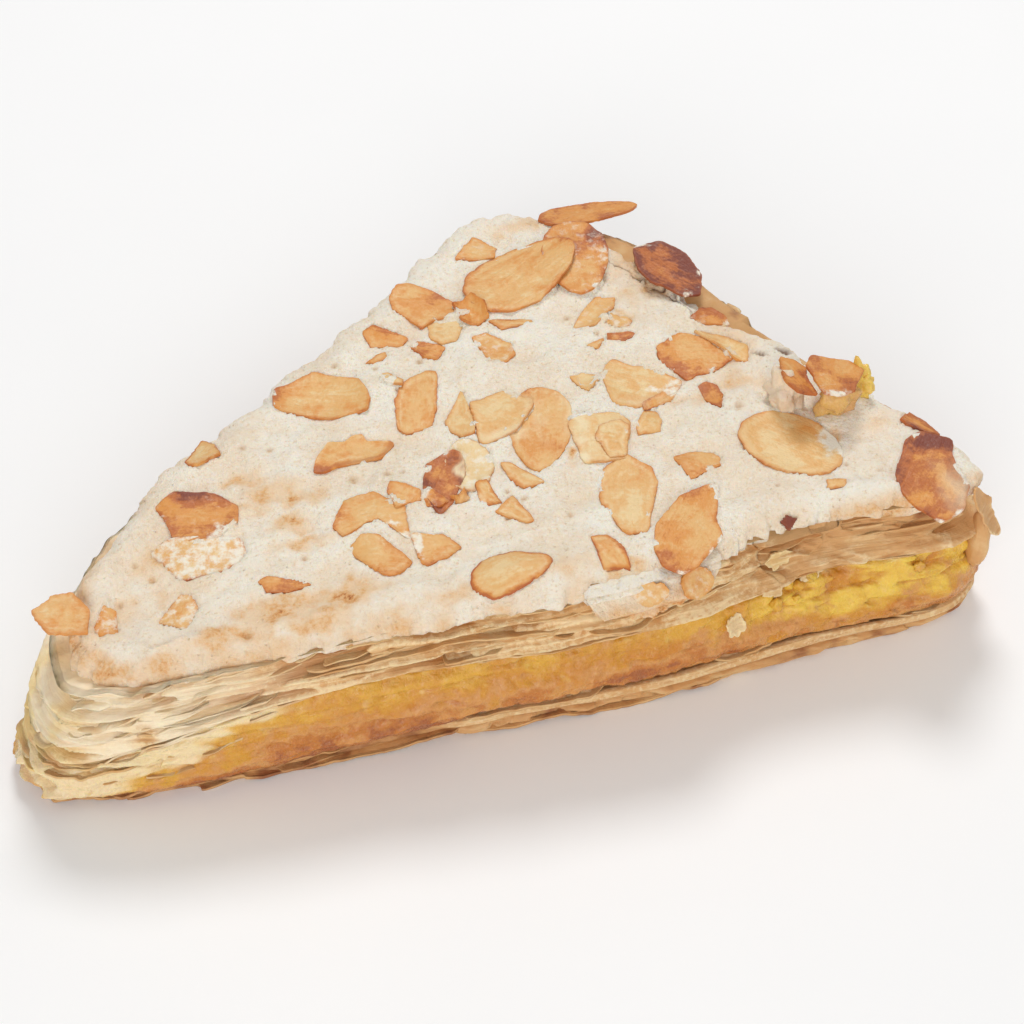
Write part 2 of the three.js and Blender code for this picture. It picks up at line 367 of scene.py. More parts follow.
def iced():
    """Dry royal icing: off-white, finely pitted, toasted to peach where it stood proud, with painted shade in
    its pores, pits and cracks, in its hollows and over its left end.
    """
    f = Finish("iced")
    broad = f.noise(11, 3, 0.6)
    middle = f.noise(3.2, 4, 0.55)
    grain = f.noise(0.6, 4, 0.65)
    pores = f.cells(1.3)
    f.base = (0.95, 0.88, 0.75)
    f.stain((0.90, 0.77, 0.60), broad, 0.38, 0.64)
    f.stain((0.86, 0.69, 0.49), middle, 0.52, 0.75, 0.0, 0.4)
    f.stain((0.96, 0.93, 0.86), grain, 0.52, 0.68, 0.0, 0.5)
    f.stain((0.76, 0.56, 0.34), grain, 0.46, 0.32, 0.0, 0.6)
    # painted shade: the pores are dotted darker
    dotted = f.times(f.spread(pores, 0.13, 0.03), f.spread(middle, 0.42, 0.6, 0.0, 0.7))
    f.stain((0.66, 0.42, 0.21), dotted)
    # toast is real browning, with painted shade added in the hollows and over the left end
    toast = f.times(f.noted("toast"), f.spread(middle, 0.35, 0.65, 0.6, 1.4))
    toast = f.times(toast, f.spread(grain, 0.3, 0.7, 0.75, 1.25))
    f.stain((0.89, 0.64, 0.40), f.noted("toast"), 0.0, 0.55, 0.0, 0.85)
    f.stain((0.82, 0.49, 0.22), toast, 0.3, 0.8, 0.0, 0.8)
    f.stain((0.72, 0.33, 0.10), toast, 0.65, 1.1)
    f.stain((0.40, 0.12, 0.04), toast, 0.95, 1.3)
    # painted shade: the cracks are painted near black and the pits a darker tan
    f.stain((0.17, 0.06, 0.02), f.noted("crack"))
    f.stain((0.60, 0.36, 0.17), f.times(f.noted("pit"), 0.8))
    height = f.plus(f.times(middle, 0.35), f.times(grain, 0.55))
    height = f.plus(height, f.spread(pores, 0.02, 0.16, -0.2, 0.0))
    return f.finish(f.spread(grain, 0.3, 0.7, 0.55, 0.8), height, 0.8, 0.2)


def flaky():
    """Dry leaves of puff pastry: pale at their torn edges, partly as painted highlight, and tan inside the
    gaps, as painted shade.
    """
    f = Finish("flaky")
    apart = f.node("SeparateXYZ", {0: f.place})
    own = f.node("CombineXYZ", {0: f.times(apart.outputs[0], 0.05),
                                1: f.times(apart.outputs[1], 0.05), 2: f.noted("leaf")})
    lines = f.noise(0.55, 4, 0.62, 0.2, own.outputs[0])
    blotch = f.noise(4.5, 4, 0.6)
    fine = f.noise(0.8, 4, 0.65)
    f.base = (0.77, 0.51, 0.245)
    f.stain((0.68, 0.375, 0.14), blotch, 0.36, 0.66)
    f.stain((0.52, 0.23, 0.065), lines, 0.5, 0.66, 0.0, 0.65)
    # painted shade: the gap value darkens the gaps, pockets and recesses between the leaves
    f.stain((0.46, 0.18, 0.04), f.noted("gap"))
    # painted highlight: the edge value lightens leaves where they stand proud; on the bottom pastry and the
    # drip it is their real pale tone
    edge = f.plus(f.noted("edge"), f.spread(fine, 0.35, 0.65, -0.3, 0.2))
    f.stain((0.90, 0.70, 0.41), edge, 0.35, 0.95, 0.0, 0.85)
    f.stain((0.91, 0.74, 0.46), lines, 0.3, 0.42, 0.4, 0.0)
    f.stain((0.95, 0.83, 0.61), f.noted("white"))
    f.stain((0.90, 0.70, 0.28), f.noted("yellow"))
    brown = f.plus(f.noted("brown"), f.spread(blotch, 0.3, 0.7, -0.2, 0.2))
    f.stain((0.66, 0.36, 0.14), brown, 0.1, 0.6)
    f.stain((0.34, 0.12, 0.04), brown, 0.6, 1.1)
    height = f.plus(f.times(lines, 0.5), f.times(fine, 0.3))
    return f.finish(f.spread(fine, 0.3, 0.7, 0.5, 0.75), height, 0.45, 0.15)


def almond_cream():
    """Moist, grainy almond cream: yellow inside, baked orange-brown along its lower band."""
    f = Finish("almond_cream")
    broad = f.noise(6, 4, 0.6)
    patchy = f.noise(2.4, 4, 0.6)
    grain = f.noise(0.45, 3, 0.65)
    f.base = (0.65, 0.29, 0.028)
    f.stain((0.58, 0.20, 0.02), broad, 0.4, 0.62)
    lemon = f.times(f.noted("lemon"), f.spread(broad, 0.3, 0.6, 1.0, 0.7))
    # painted shade: deep takes the lemon yellow out of the crevices, leaving them the orange of shade
    lemon = f.times(lemon, f.spread(f.noted("deep"), 0.0, 1.0, 1.0, 0.15))
    f.stain((0.88, 0.60, 0.09), lemon)
    f.stain((0.84, 0.58, 0.19), patchy, 0.55, 0.72, 0.0, 0.5)
    f.stain((0.56, 0.20, 0.02), patchy, 0.28, 0.42, 0.3, 0.0)
    level = f.plus(f.noted("bake"), f.spread(broad, 0.3, 0.7, -0.35, 0.35))
    level = f.plus(level, f.spread(patchy, 0.3, 0.7, -0.2, 0.2))
    f.stain((0.66, 0.31, 0.09), level, 0.15, 0.6)
    f.stain((0.55, 0.195, 0.035), level, 0.55, 0.95)
    f.stain((0.40, 0.12, 0.03), level, 1.0, 1.35)
    f.stain((0.90, 0.60, 0.24), grain, 0.58, 0.7, 0.0, 0.3)
    f.stain((0.90, 0.74, 0.46), f.noted("white"))
    height = f.plus(f.times(patchy, 0.5), f.times(grain, 0.3))
    return f.finish(f.spread(grain, 0.4, 0.62, 0.12, 0.45), height, 0.5, 0.3, (1.3, 0.9, 0.3))


def toasted_almond():
    """A slice of almond: golden, with a paler lip that is painted highlight, toasted patches and a thin brown
    skin.
    """
    f = Finish("toasted_almond")
    along, across = f.noted("along"), f.noted("across")
    own = f.node("CombineXYZ", {0: f.times(along, 0.16), 1: f.times(across, 1.1),
                                2: f.noted("kin")}).outputs[0]
    lines = f.noise(1, 3, 0.55, 0.8, own)
    blotch = f.noise(4.6, 3, 0.55, 0.5)
    fine = f.noise(0.6, 4, 0.65)
    toast = f.plus(f.noted("toast"), f.spread(blotch, 0.3, 0.7, -0.22, 0.22))
    toast = f.plus(toast, f.spread(lines, 0.3, 0.7, -0.07, 0.07))
    toast = f.plus(toast, f.spread(fine, 0.3, 0.7, -0.08, 0.08))
    f.base = (0.83, 0.60, 0.30)
    f.stain((0.79, 0.45, 0.16), toast, -0.1, 0.25)
    f.stain((0.74, 0.31, 0.065), toast, 0.25, 0.6)
    f.stain((0.52, 0.15, 0.03), toast, 0.6, 0.9)
    f.stain((0.22, 0.045, 0.02), toast, 0.9, 1.25)
    # painted highlight: lip lightens a ring just inside the rim, along the raised lip
    lip = f.times(f.noted("lip"), f.spread(blotch, 0.4, 0.6, 0.0, 0.6))
    lip = f.times(lip, f.spread(toast, 0.35, 0.75, 1.0, 0.0))
    f.stain((0.88, 0.68, 0.38), lip)
    f.stain((0.90, 0.75, 0.48), f.noted("pale"))
    skin = f.times(f.noted("rim"), f.spread(f.noise(2.6, 3), 0.3, 0.55))
    f.stain((0.48, 0.13, 0.03), skin)
    frosted = f.plus(f.noted("frost"), f.spread(f.noise(1.5, 4, 0.65), 0.3, 0.7, -0.3, 0.3))
    f.stain((0.90, 0.82, 0.68), frosted, 0.25, 0.85)
    height = f.plus(f.times(lines, 0.3), f.times(fine, 0.4))
    return f.finish(f.spread(fine, 0.3, 0.7, 0.35, 0.6), height, 0.4, 0.12)


def table_top():
    f = Finish("table_top")
    mottle = f.noise(60, 2)
    f.base = (0.93, 0.93, 0.93)
    f.stain((0.96, 0.96, 0.96), mottle)
    return f.finish(0.6, f.noise(2, 2), 0.02)


# ---------------------------------------------------------------- view, light and table

def look_at(thing, place, target):
    thing.location = [value * MM for value in place]
    way = Vector(target) - Vector(place)
    thing.rotation_euler = way.to_track_quat("-Z", "Y").to_euler()


def set_camera():
    aim, distance = Vector((9.1, 2.47, 0)), 398.9
    across, height = math.radians(-16), math.radians(45)
    back = Vector((math.sin(across) * math.cos(height), -math.cos(across) * math.cos(height),
                   math.sin(height)))
    camera = bpy.data.objects.new("camera", bpy.data.cameras.new("camera"))
    bpy.context.collection.objects.link(camera)
    camera.data.lens = 85
    camera.data.clip_start = 0.01
    look_at(camera, aim + back * distance, aim)
    bpy.context.scene.camera = camera


def set_lights():
    lamps = {  # place, size and power
        "window": ((150, 480, 800), 300, 3.6),
        "front_fill": ((-330, -850, 460), 700, 4.8),
        "right_fill": ((900, -60, 460), 700, 1.0),
    }
    for name, (place, size, power) in lamps.items():
        lamp = bpy.data.objects.new(name, bpy.data.lights.new(name, "AREA"))
        bpy.context.collection.objects.link(lamp)
        lamp.data.shape = "DISK"
        lamp.data.size = size * MM
        lamp.data.energy = power
        look_at(lamp, place, (0, 0, 15))
    world = bpy.data.worlds.new("studio")
    world.use_nodes = True
    world.node_tree.nodes["Background"].inputs["Color"].default_value = (1.0, 0.99, 0.98, 1)
    world.node_tree.nodes["Background"].inputs["Strength"].default_value = 0.43
    bpy.context.scene.world = world
    bpy.context.scene.view_settings.view_transform = "Standard"


def make_table():
    table = begin("table_top", bpy.ops.mesh.primitive_plane_add, size=4)
    table.data.materials.append(table_top())


# ---------------------------------------------------------------- the layers

def on_surface(node, places, down=True):
    """The height of a layer's top, or of its underside, over the places' plan."""
    heights = heights_over(solid[node], places, down)
    return np.where(np.isnan(heights), places[:, 2], heights)


def side_rows(node, count):
    """Rows up a layer's side, from its underside to its top, and how far up each row is."""
    under, over = rows_of(node)
    heights = [under + (over - under) * share for share in np.linspace(0.03, 0.97, count)]
    rows = np.array([ring(side_of(node, height), height) for height in heights])
    return rows, np.linspace(0, 1, count)[:, None]


def capped(node, rows, shares=(0.96, 0.88, 0.7, 0.35, 0.0)):
    """Closes a side with rows that run in to the middle over and under the layer."""
    centre = np.array([*MIDDLE, 0])
    above, below = [], []
    for share in shares:
        for rim, kept, down in ((rows[-1], above, True), (rows[0], below, False)):
            row = centre + (rim - centre) * share
            row[:, 2] = rim[:, 2]
            row[:, 2] = on_surface(node, row, down)
            if down:
                row[:, 2] -= CLEAR * step(0.985, 0.92, share) * (1 - bared(row))
            kept.append(row)
    return np.concatenate([below[::-1], rows, above])


def pushed(rows, amounts):
    """Rows moved away from the middle, in plan."""
    moved = rows.copy()
    moved[:, :, :2] += WAYS[None, :, :2] * amounts[:, :, None]
    return moved


def bared(rows):
    """How far into the stretch of the long back side where the icing has drawn back from the edge."""
    return step(24, 32, rows[..., 0]) * step(70, 60, rows[..., 0]) * step(2, 8, rows[..., 1])


def nose(rows):
    """How far towards the narrow tip, where the leaves are looser."""
    return step(-34, -62, rows[..., 0])


def broken_end(rows):
    """How far into the stretch of the cut side where the cream has broken open."""
    return step(26, 40, rows[..., 0]) * step(-12, -28, rows[..., 1]) * step(82, 70, rows[..., 0])


def slipped(rows):
    """How far into the stretch where the icing has slipped over the edge with two slices."""
    return step(8, 13, rows[..., 0]) * step(31, 26, rows[..., 0]) * step(-30, -38, rows[..., 1])


def around(places, values):
    """A value known at each station, at the places."""
    turn = np.arctan2(places[:, 1] - MIDDLE[1], places[:, 0] - MIDDLE[0])
    order = np.argsort(TURNS)
    return np.interp(turn, TURNS[order], values[order], period=2 * math.pi)


def level_in(node, places):
    """How far up a layer's side each place is, from 0 at its underside to 1 at its top."""
    low, high = (around(places, heights) for heights in rows_of(node))
    return (places[:, 2] - low) / (high - low)


def make_cream():
    rows, share = side_rows(CREAM, 46)
    broken, tip = broken_end(rows), nose(rows)
    lumps = 1 - 2 * np.abs(uneven(rows, (4.2, 4.2, 3.0), 3, 2))
    push = 0.6 * uneven(rows, (9, 9, 4), 1, 2) + 0.3 * lumps + 0.2 * uneven(rows, 1.3, 2, 2) - 0.2
    push -= 0.7 * step(0.3, 0.6, uneven(rows, (3.6, 3.6, 1.6), 5)) * (0.4 + broken)
    push -= 0.7 * step(0.3, 0.6, uneven(rows, (9, 9, 0.9), 6)) * step(0.25, 0.4, share)
    push += broken * (1.3 * uneven(rows, (6.0, 6.0, 2.8), 7, 2) - 1.3) * step(0.3, 0.6, share)
    push += 0.3 * uneven(rows, (12, 12, 0.8), 15, 2) * step(-10, -40, rows[..., 0])
    push += tip * (0.9 * uneven(rows, (7, 7, 1.6), 8, 2) - 1.2 * step(0.2, 0.5, uneven(rows, (6, 6, 1.4), 4)))
    push += 0.9 * step(0.35, 0.12, share) * step(-4, -20, rows[..., 0]) - 0.5 * step(0.85, 1, share)
    rows = pushed(rows, push)
    rows[:, :, 2] += 0.3 * uneven(rows, 1.6, 9, 2) * step(0, 0.1, share) * step(1, 0.9, share)
    # deep marks the crevices that the finish gives painted shade
    piece = band("almond_cream_filling", capped(CREAM, rows), deep=step(-1.3, -2.4, push))
    places = spots(piece)
    level = np.clip(level_in(CREAM, places), 0, 1)
    broken, tip = broken_end(places), nose(places)
    brown_to = 0.58 - 0.26 * broken - 0.4 * tip + 0.25 * uneven(places, (9, 9, 5), 10, 2)
    bake = 1.0 * step(brown_to + 0.25, brown_to - 0.5, level)
    bake += 0.3 * step(0.14, 0.0, level) * step(0, -15, places[:, 0])
    bake += 0.5 * step(0.2, 0.5, uneven(places, (7, 7, 3), 13, 2)) * step(0.5, 0.2, level)
    lemon = broken * step(0.25, 0.55, level + 0.2 * uneven(places, 4, 11, 2))
    left = np.interp(places[:, 0], (-68, -58, -46, -30), (0.1, 0.35, 0.75, 1.1))
    white = step(-0.1, 0.15, level - left + 0.25 * uneven(places, (7, 7, 2), 12, 2))
    lemon = np.maximum(lemon, 0.35 * step(0.45, 0.8, level) + 0.4 * tip)
    note(piece, bake=bake, lemon=lemon, white=0.85 * white)
    return show(piece, "cream", almond_cream(), CREAM)


def layered(rows):
    """Places in a side of leaves, over the plan and up across the leaves, which wander a little."""
    own = rows.copy()
    own[:, :, 0] += 4 * uneven(rows, (9, 9, 3), 30, 2)
    own[:, :, 2] += 0.9 * uneven(rows, (34, 34, 12), 21) + 0.3 * uneven(rows, (9, 9, 5), 22, 2)
    return own


def ridged(rows, size, seed):
    return 1 - 2.4 * np.abs(uneven(rows, size, seed))


def make_pastry_core(finish):
    rows, share = side_rows(PASTRY, 76)
    covered = step(0.0, 0.05, share) * step(1.0, 0.96, share)
    tip, broken, own = nose(rows), broken_end(rows), layered(rows)
    broad, thin = ridged(own, (26, 26, 1.5), 23), ridged(own, (15, 15, 0.7), 24)
    pocket = uneven(own, (13, 13, 1.8), 25) + 0.2 * uneven(rows, (3, 3, 1.2), 20) + 0.12 * tip
    pocket = step(0.18, 0.42, pocket) * step(0.04, 0.16, share) * step(0.98, 0.9, share) * (1 - 0.8 * broken)
    shelf = ridged(own, (11, 11, 1.2), 28)
    push = 0.5 * broad + 0.3 * thin - (1.7 + 1.2 * tip) * pocket + 0.12 * uneven(rows, 1.4, 27, 2)
    push += broken * (0.9 * shelf + 0.3 * uneven(rows, (2.5, 2.5, 0.8), 19, 2))
    bitten = 3.2 + 1.2 * uneven(rows, (9, 9, 3), 29, 2)
    push -= broken * step(0.1, 0.4, share) * step(1.0, 0.75, share) * bitten
    push -= 1.6 * step(0.74, 0.9, share) * (1 - bared(rows)) + 1.2 * slipped(rows) * step(0.2, 0.5, share)
    shares = (0.985, 0.95, 0.88, 0.78, 0.64, 0.45, 0.2, 0)
    # painted highlight: edge lightens the leaves where their ridges stand proud, less at the broken end
    edge = (0.25 + 0.45 * broad + 0.4 * thin) * (1 - pocket) * (1 - 0.5 * broken)
    # painted shade: gap darkens the pockets, the sunken ridges and parts of the broken end, mostly where its
    # shelves sink
    gap = 0.85 * pocket + 0.6 * step(-0.1, -0.9, broad) + 0.3 * step(-0.2, -0.9, thin)
    gap = gap * (1 - 0.45 * tip) + broken * (0.25 * step(0.35, 0.6, share) + 0.7 * step(0.2, -0.7, shelf))
    edge += 0.6 * broken * step(0.5, 1.0, shelf)
    # holes are pushed in and given more painted shade
    holes = broken * step(0.3, 0.45, uneven(own, (8, 8, 2.2), 31, 2))
    holes *= step(0.08, 0.2, share) * step(0.95, 0.8, share)
    gap += 0.75 * holes
    push -= 1.3 * holes
    rows = pushed(rows, push * covered)
    piece = band("pastry_body", capped(PASTRY, rows, shares), leaf=own[:, :, 2] - push,
                 edge=np.clip(edge, 0, 1), gap=np.clip(gap, 0, 1))
    loose(piece)
    places = spots(piece)
    shelf = (0.35 + 0.8 * nose(places)) * uneven(places, (4, 4, 9), 26, 3) - 0.5 * nose(places)
    places[:, 2] += shelf * step(22, 25, places[:, 2])
    put(piece, places)
    return show(piece, "pastry", finish, PASTRY)


def loose(piece):
    """Where the pastry is white, translucent yellow or browned, and where painted shade browns the ledge
    under the icing.
    """
    places = spots(piece)
    spot = uneven(places, (5, 5, 4), 91, 2)
    white = step(-28, -56, places[:, 0]) * step(-1.1, 0.1, spot) * step(9, 13, places[:, 2])
    yellow = step(-62, -74, places[:, 0]) * step(0.2, -0.3, spot) * 0.5
    shoulder = step(18, 24, places[:, 2]) * step(10, 22, places[:, 0] + 0.6 * places[:, 1])
    # painted shade: ledge browns the recessed ledge of the broken end under the icing's overhanging rim
    ledge = 0.45 * broken_end(places) * step(17, 20, places[:, 2])
    note(piece, white=0.75 * white, yellow=yellow,
         brown=np.maximum(shoulder * (0.5 + 0.5 * uneven(places, 5, 25, 2)), ledge))


BACK = (9.0, 4.5, 2.6, 1.6, 1.0, 0.6, 0.3, 0.1, 0.0)  # rows of a leaf, measured in from its edge


def leaf(name, node, share, thick, out=0.2, torn=2.6, wave=0.5, seed=0, ends=None):
    """One thin leaf that stands out of a layer's side, wavy, ragged and torn back in places."""
    under, over = rows_of(node)
    line = ring(side_of(node, under + (over - under) * share), under)[None]
    heights = under + (over - under) * share + 0.9 * uneven(line, (16, 16, 9), seed + 7, 2)[0]
    near = (-0.8, 0, 0.8)
    sides = [side_of(node, np.clip(heights + rise, under + 0.08, over - 0.08)) for rise in near]
    rim = ring(np.max(sides, 0), heights)[None]
    tip = nose(rim)
    edge = out + 0.5 * uneven(rim, (30, 30, 3), seed + 1) + 0.25 * uneven(rim, (3.2, 3.2, 2), seed + 2, 3)
    edge -= torn * step(-0.1, 0.35, uneven(rim, (24, 24, 1.2), seed + 3, 3))
    edge += 0.9 * tip * uneven(rim, 4, seed + 4, 2)
    edge -= 3.4 * broken_end(rim) * step(-0.1, 0.25, share) * step(1.0, 0.8, share)
    edge -= 2.5 * slipped(rim) * step(0.2, 0.5, share)
    if ends:
        edge -= 6 * step(*ends, rim[..., 0])
    back = np.array(BACK)[:, None]
    rows = pushed(np.repeat(rim, len(BACK), 0), edge - back)
    rise = (0.3 + 0.9 * tip) * uneven(rows, (9, 9, 1.5), seed + 5) * np.exp(-back / 0.8)
    rise += (wave * 0.4 + 0.25 * tip) * uneven(rows, (4, 4, 1.6), 33, 2)
    rise += 0.9 * tip * uneven(rows, (9, 9, 2.5), seed + 6)
    rows[:, :, 2] = np.maximum(rows[:, :, 2] + rise, 0.6 * thick)
    piece = band(name, rows)
    streak = np.repeat(uneven(rim, (9, 9, 4), seed + 8, 2)[0], len(BACK))
    # painted highlight: edge lightens each leaf's outer rim, fading inwards within a few tenths of a
    # millimetre
    note(piece, edge=np.tile(np.exp(-np.array(BACK) / 0.35), STATIONS), gap=0.0,
         leaf=np.tile(BACK, STATIONS) + 0.3 * streak + seed)
    finish_with(piece, "SOLIDIFY", thickness=thick * MM, offset=0.0)
    loose(piece)
    return piece


def make_leaves(finish):
    for i, share in enumerate((0.03, 0.17, 0.3, 0.43, 0.56, 0.68, 0.8)):
        thick, torn = (0.3, 0.42, 0.24)[i % 3], 3.4 if i else 0.9
        show(leaf(f"pastry_leaf_{i + 1}", PASTRY, share, thick, 0.35, torn, seed=100 + 10 * i),
             "pastry", finish)
    for i, share in enumerate((0.35, 0.6, 0.85)):
        ends = (-62 + 22 * share, -50 + 26 * share)
        show(leaf(f"low_leaf_{i + 1}", CREAM, share, 0.35, 0.3, 2.0, seed=500 + 10 * i, ends=ends),
             "pastry", finish)


def crusted(rows):
    """How far into the stretch where the bottom pastry's pale leaf shows below the cream."""
    return step(-18, -10, rows[..., 0] - 0.25 * (rows[..., 1] + 38))


def make_crust(finish):
    rows, share = side_rows(CRUST, 30)
    opened = crusted(rows)
    wavy = share + 0.05 * uneven(rows, (9, 9, 6), 41, 2)
    skin = step(0.44, 0.36, wavy)
    crack = step(0.36, 0.42, wavy) * step(0.52, 0.46, wavy)
    lines = 0.16 * uneven(rows, (12, 12, 0.35), 43, 2) + 0.2 * uneven(rows, (6, 6, 2), 44, 2)
    push = opened * (0.5 - 0.4 * skin - 1.5 * crack) - (1 - opened) * 1.2 + lines
    dents = step(0.25, 0.5, uneven(rows, (3, 3, 1), 46))
    push += skin * (0.8 * uneven(rows, (6, 6, 1.4), 45, 2) - 0.9 * dents)
    piece = band("crust_body", capped(CRUST, pushed(rows, push)))
    places = spots(piece)
    opened = crusted(places)
    level = level_in(CRUST, places) + 0.05 * uneven(places, (9, 9, 6), 41, 2)
    skin = step(0.48, 0.4, level)
    brown = np.maximum(skin * (0.62 + 0.5 * uneven(places, (5, 5, 1.5), 47, 2)), (1 - opened) * 0.8)
    # painted shade: the groove between the pale leaf and the skin, pushed in above, is browned dark
    crack = step(0.36, 0.42, level) * step(0.52, 0.46, level) * opened
    # painted shade: gap darkens the stretch set back under the bulging cream, where the pale leaf doesn't
    # show
    note(piece, edge=0.55 * opened * (1 - skin), gap=0.5 * (1 - opened), white=0.0, yellow=0.0,
         leaf=places[:, 2], brown=np.maximum(brown, 0.95 * crack))
    show(piece, "crust", finish, CRUST)
    for i, (share, out) in enumerate(((0.1, 0.5), (0.27, 0.2), (0.97, 0.5))):
        piece = leaf(f"crust_leaf_{i + 1}", CRUST, share, 0.45, out, 1.8, wave=0.6, seed=300 + 10 * i)
        places = spots(piece)
        brown = 0.7 + 0.5 * uneven(places, (5, 5, 1.5), 48 + i, 2)
        note(piece, white=0.0, yellow=0.0, brown=brown if i < 2 else brown * (1 - crusted(places)))
        show(piece, "crust", finish)


TOASTED = (  # where the icing has browned, with two dabs of painted shade in hollows: x, y, radius along X and Y, and how much
    (-32, -12, 5, 3, 0.55), (-28.5, -14.5, 4, 2, 0.6), (-31, -19, 4, 2, 0.5), (-36, -35, 6, 3, 0.7),
    (-25.5, -34.5, 5, 2.5, 0.85), (-38, -14, 4, 2, 0.5), (-35, -8, 3, 2, 0.5), (-30, -23, 5, 1.5, 0.5),
    (-44, -38, 8, 2, 0.5), (-50, -20, 4, 2, 0.45), (-31, -38, 5, 2, 0.6), (-21, -41, 6, 2, 0.4),
    (-12, -40, 6, 2, 0.45), (4.5, -39, 8, 2, 0.4), (14, -41.5, 5, 2, 0.45), (36.5, 17, 5, 4, 0.4),
    # the dab at 12.7, -16.5 is painted shade in a hollow beside a slice
    (36, 26, 4, 6, 0.5), (43, -8, 5, 3, 0.4), (35, -10, 4, 2, 0.35), (12.7, -16.5, 1.3, 2.2, 0.9),
    (33, 34, 6, 4, 0.75), (22, 39.5, 7, 2.5, 0.5), (29.5, 11, 4, 2.5, 0.45), (60, -23, 5, 3, 0.35),
    # the dab at 50.5, -23.5 is painted shade in a cavity below the two standing slices
    (50.5, -23.5, 3, 1.4, 0.9), (46, 2, 4, 8, 0.35), (66, -40, 5, 2, 0.4), (-62, -30, 3, 4, 0.3),
)
CRACKS = (  # lines along which the icing has split, over the plan
    ((32, 26), (35.5, 24), (36.5, 20), (39, 17.5), (41, 13), (43.5, 10.5)),
    ((42, 3), (44, 0.5), (46.5, -1.5), (48.5, -4)),
    ((50, -3), (52.5, -5), (54, -8)),
    ((39, 17.5), (43.5, 18.5), (46, 16)),
    ((28, 38), (31, 33), (31.5, 28)),
)
PITS = ((-20, -12.5), (-15, -13.5), (-12.5, -13.5), (-17, 12.5), (1.5, -21.5), (0, -27), (9, -29))


def dab(places, patches, warp_seed=71):
    """How much of a set of soft oval patches covers each place."""
    warp = np.stack([uneven(places, 3, warp_seed, 2), uneven(places, 3, warp_seed + 5, 2)], 1)
    total = np.zeros(len(places))
    for x, y, wide, deep, amount in patches:
        off = (places[:, :2] + 1.6 * warp - np.array([x, y])) / np.array([wide, deep])
        total = np.maximum(total, amount * np.exp(-(off ** 2).sum(1)))
    return total


def line_distance(places, line):
    """How far each place is in plan from a line through some points."""
    nearest = np.full(len(places), np.inf)
    for start, end in zip(np.array(line, float)[:-1], np.array(line, float)[1:]):
        run = end - start
        share = np.clip((places[:, :2] - start) @ run / (run @ run), 0, 1)
        nearest = np.minimum(nearest, np.linalg.norm(places[:, :2] - start - share[:, None] * run, axis=1))
    return nearest


def rounded_top(node, places, grain=2.5):
    """The height of a layer's top over the places, with its flat facets blurred into one dome."""
    xs, ys = np.arange(-80, 80.1, grain), np.arange(-52.5, 52.6, grain)
    grid = np.stack(np.meshgrid(xs, ys, [0], indexing="ij"), -1).reshape(-1, 3)
    heights = heights_over(solid[node], grid).reshape(len(xs), len(ys))
    known = ~np.isnan(heights)
    sums = [np.where(known, heights, 0), known.astype(float)]
    weights = np.exp(-(np.arange(-4, 5) / 1.9) ** 2)
    for i in (0, 1):
        for axis in (0, 1):
            sums[i] = np.apply_along_axis(np.convolve, axis, sums[i], weights, "same")
    blurred = sums[0] / np.maximum(sums[1], 1e-6)
    a, b = (places[:, 0] - xs[0]) / grain, (places[:, 1] - ys[0]) / grain
    i, j = np.floor(a).astype(int), np.floor(b).astype(int)
    a, b = a - i, b - j
    near = blurred[i, j] * (1 - b) + blurred[i, j + 1] * b
    return near * (1 - a) + (blurred[i + 1, j] * (1 - b) + blurred[i + 1, j + 1] * b) * a


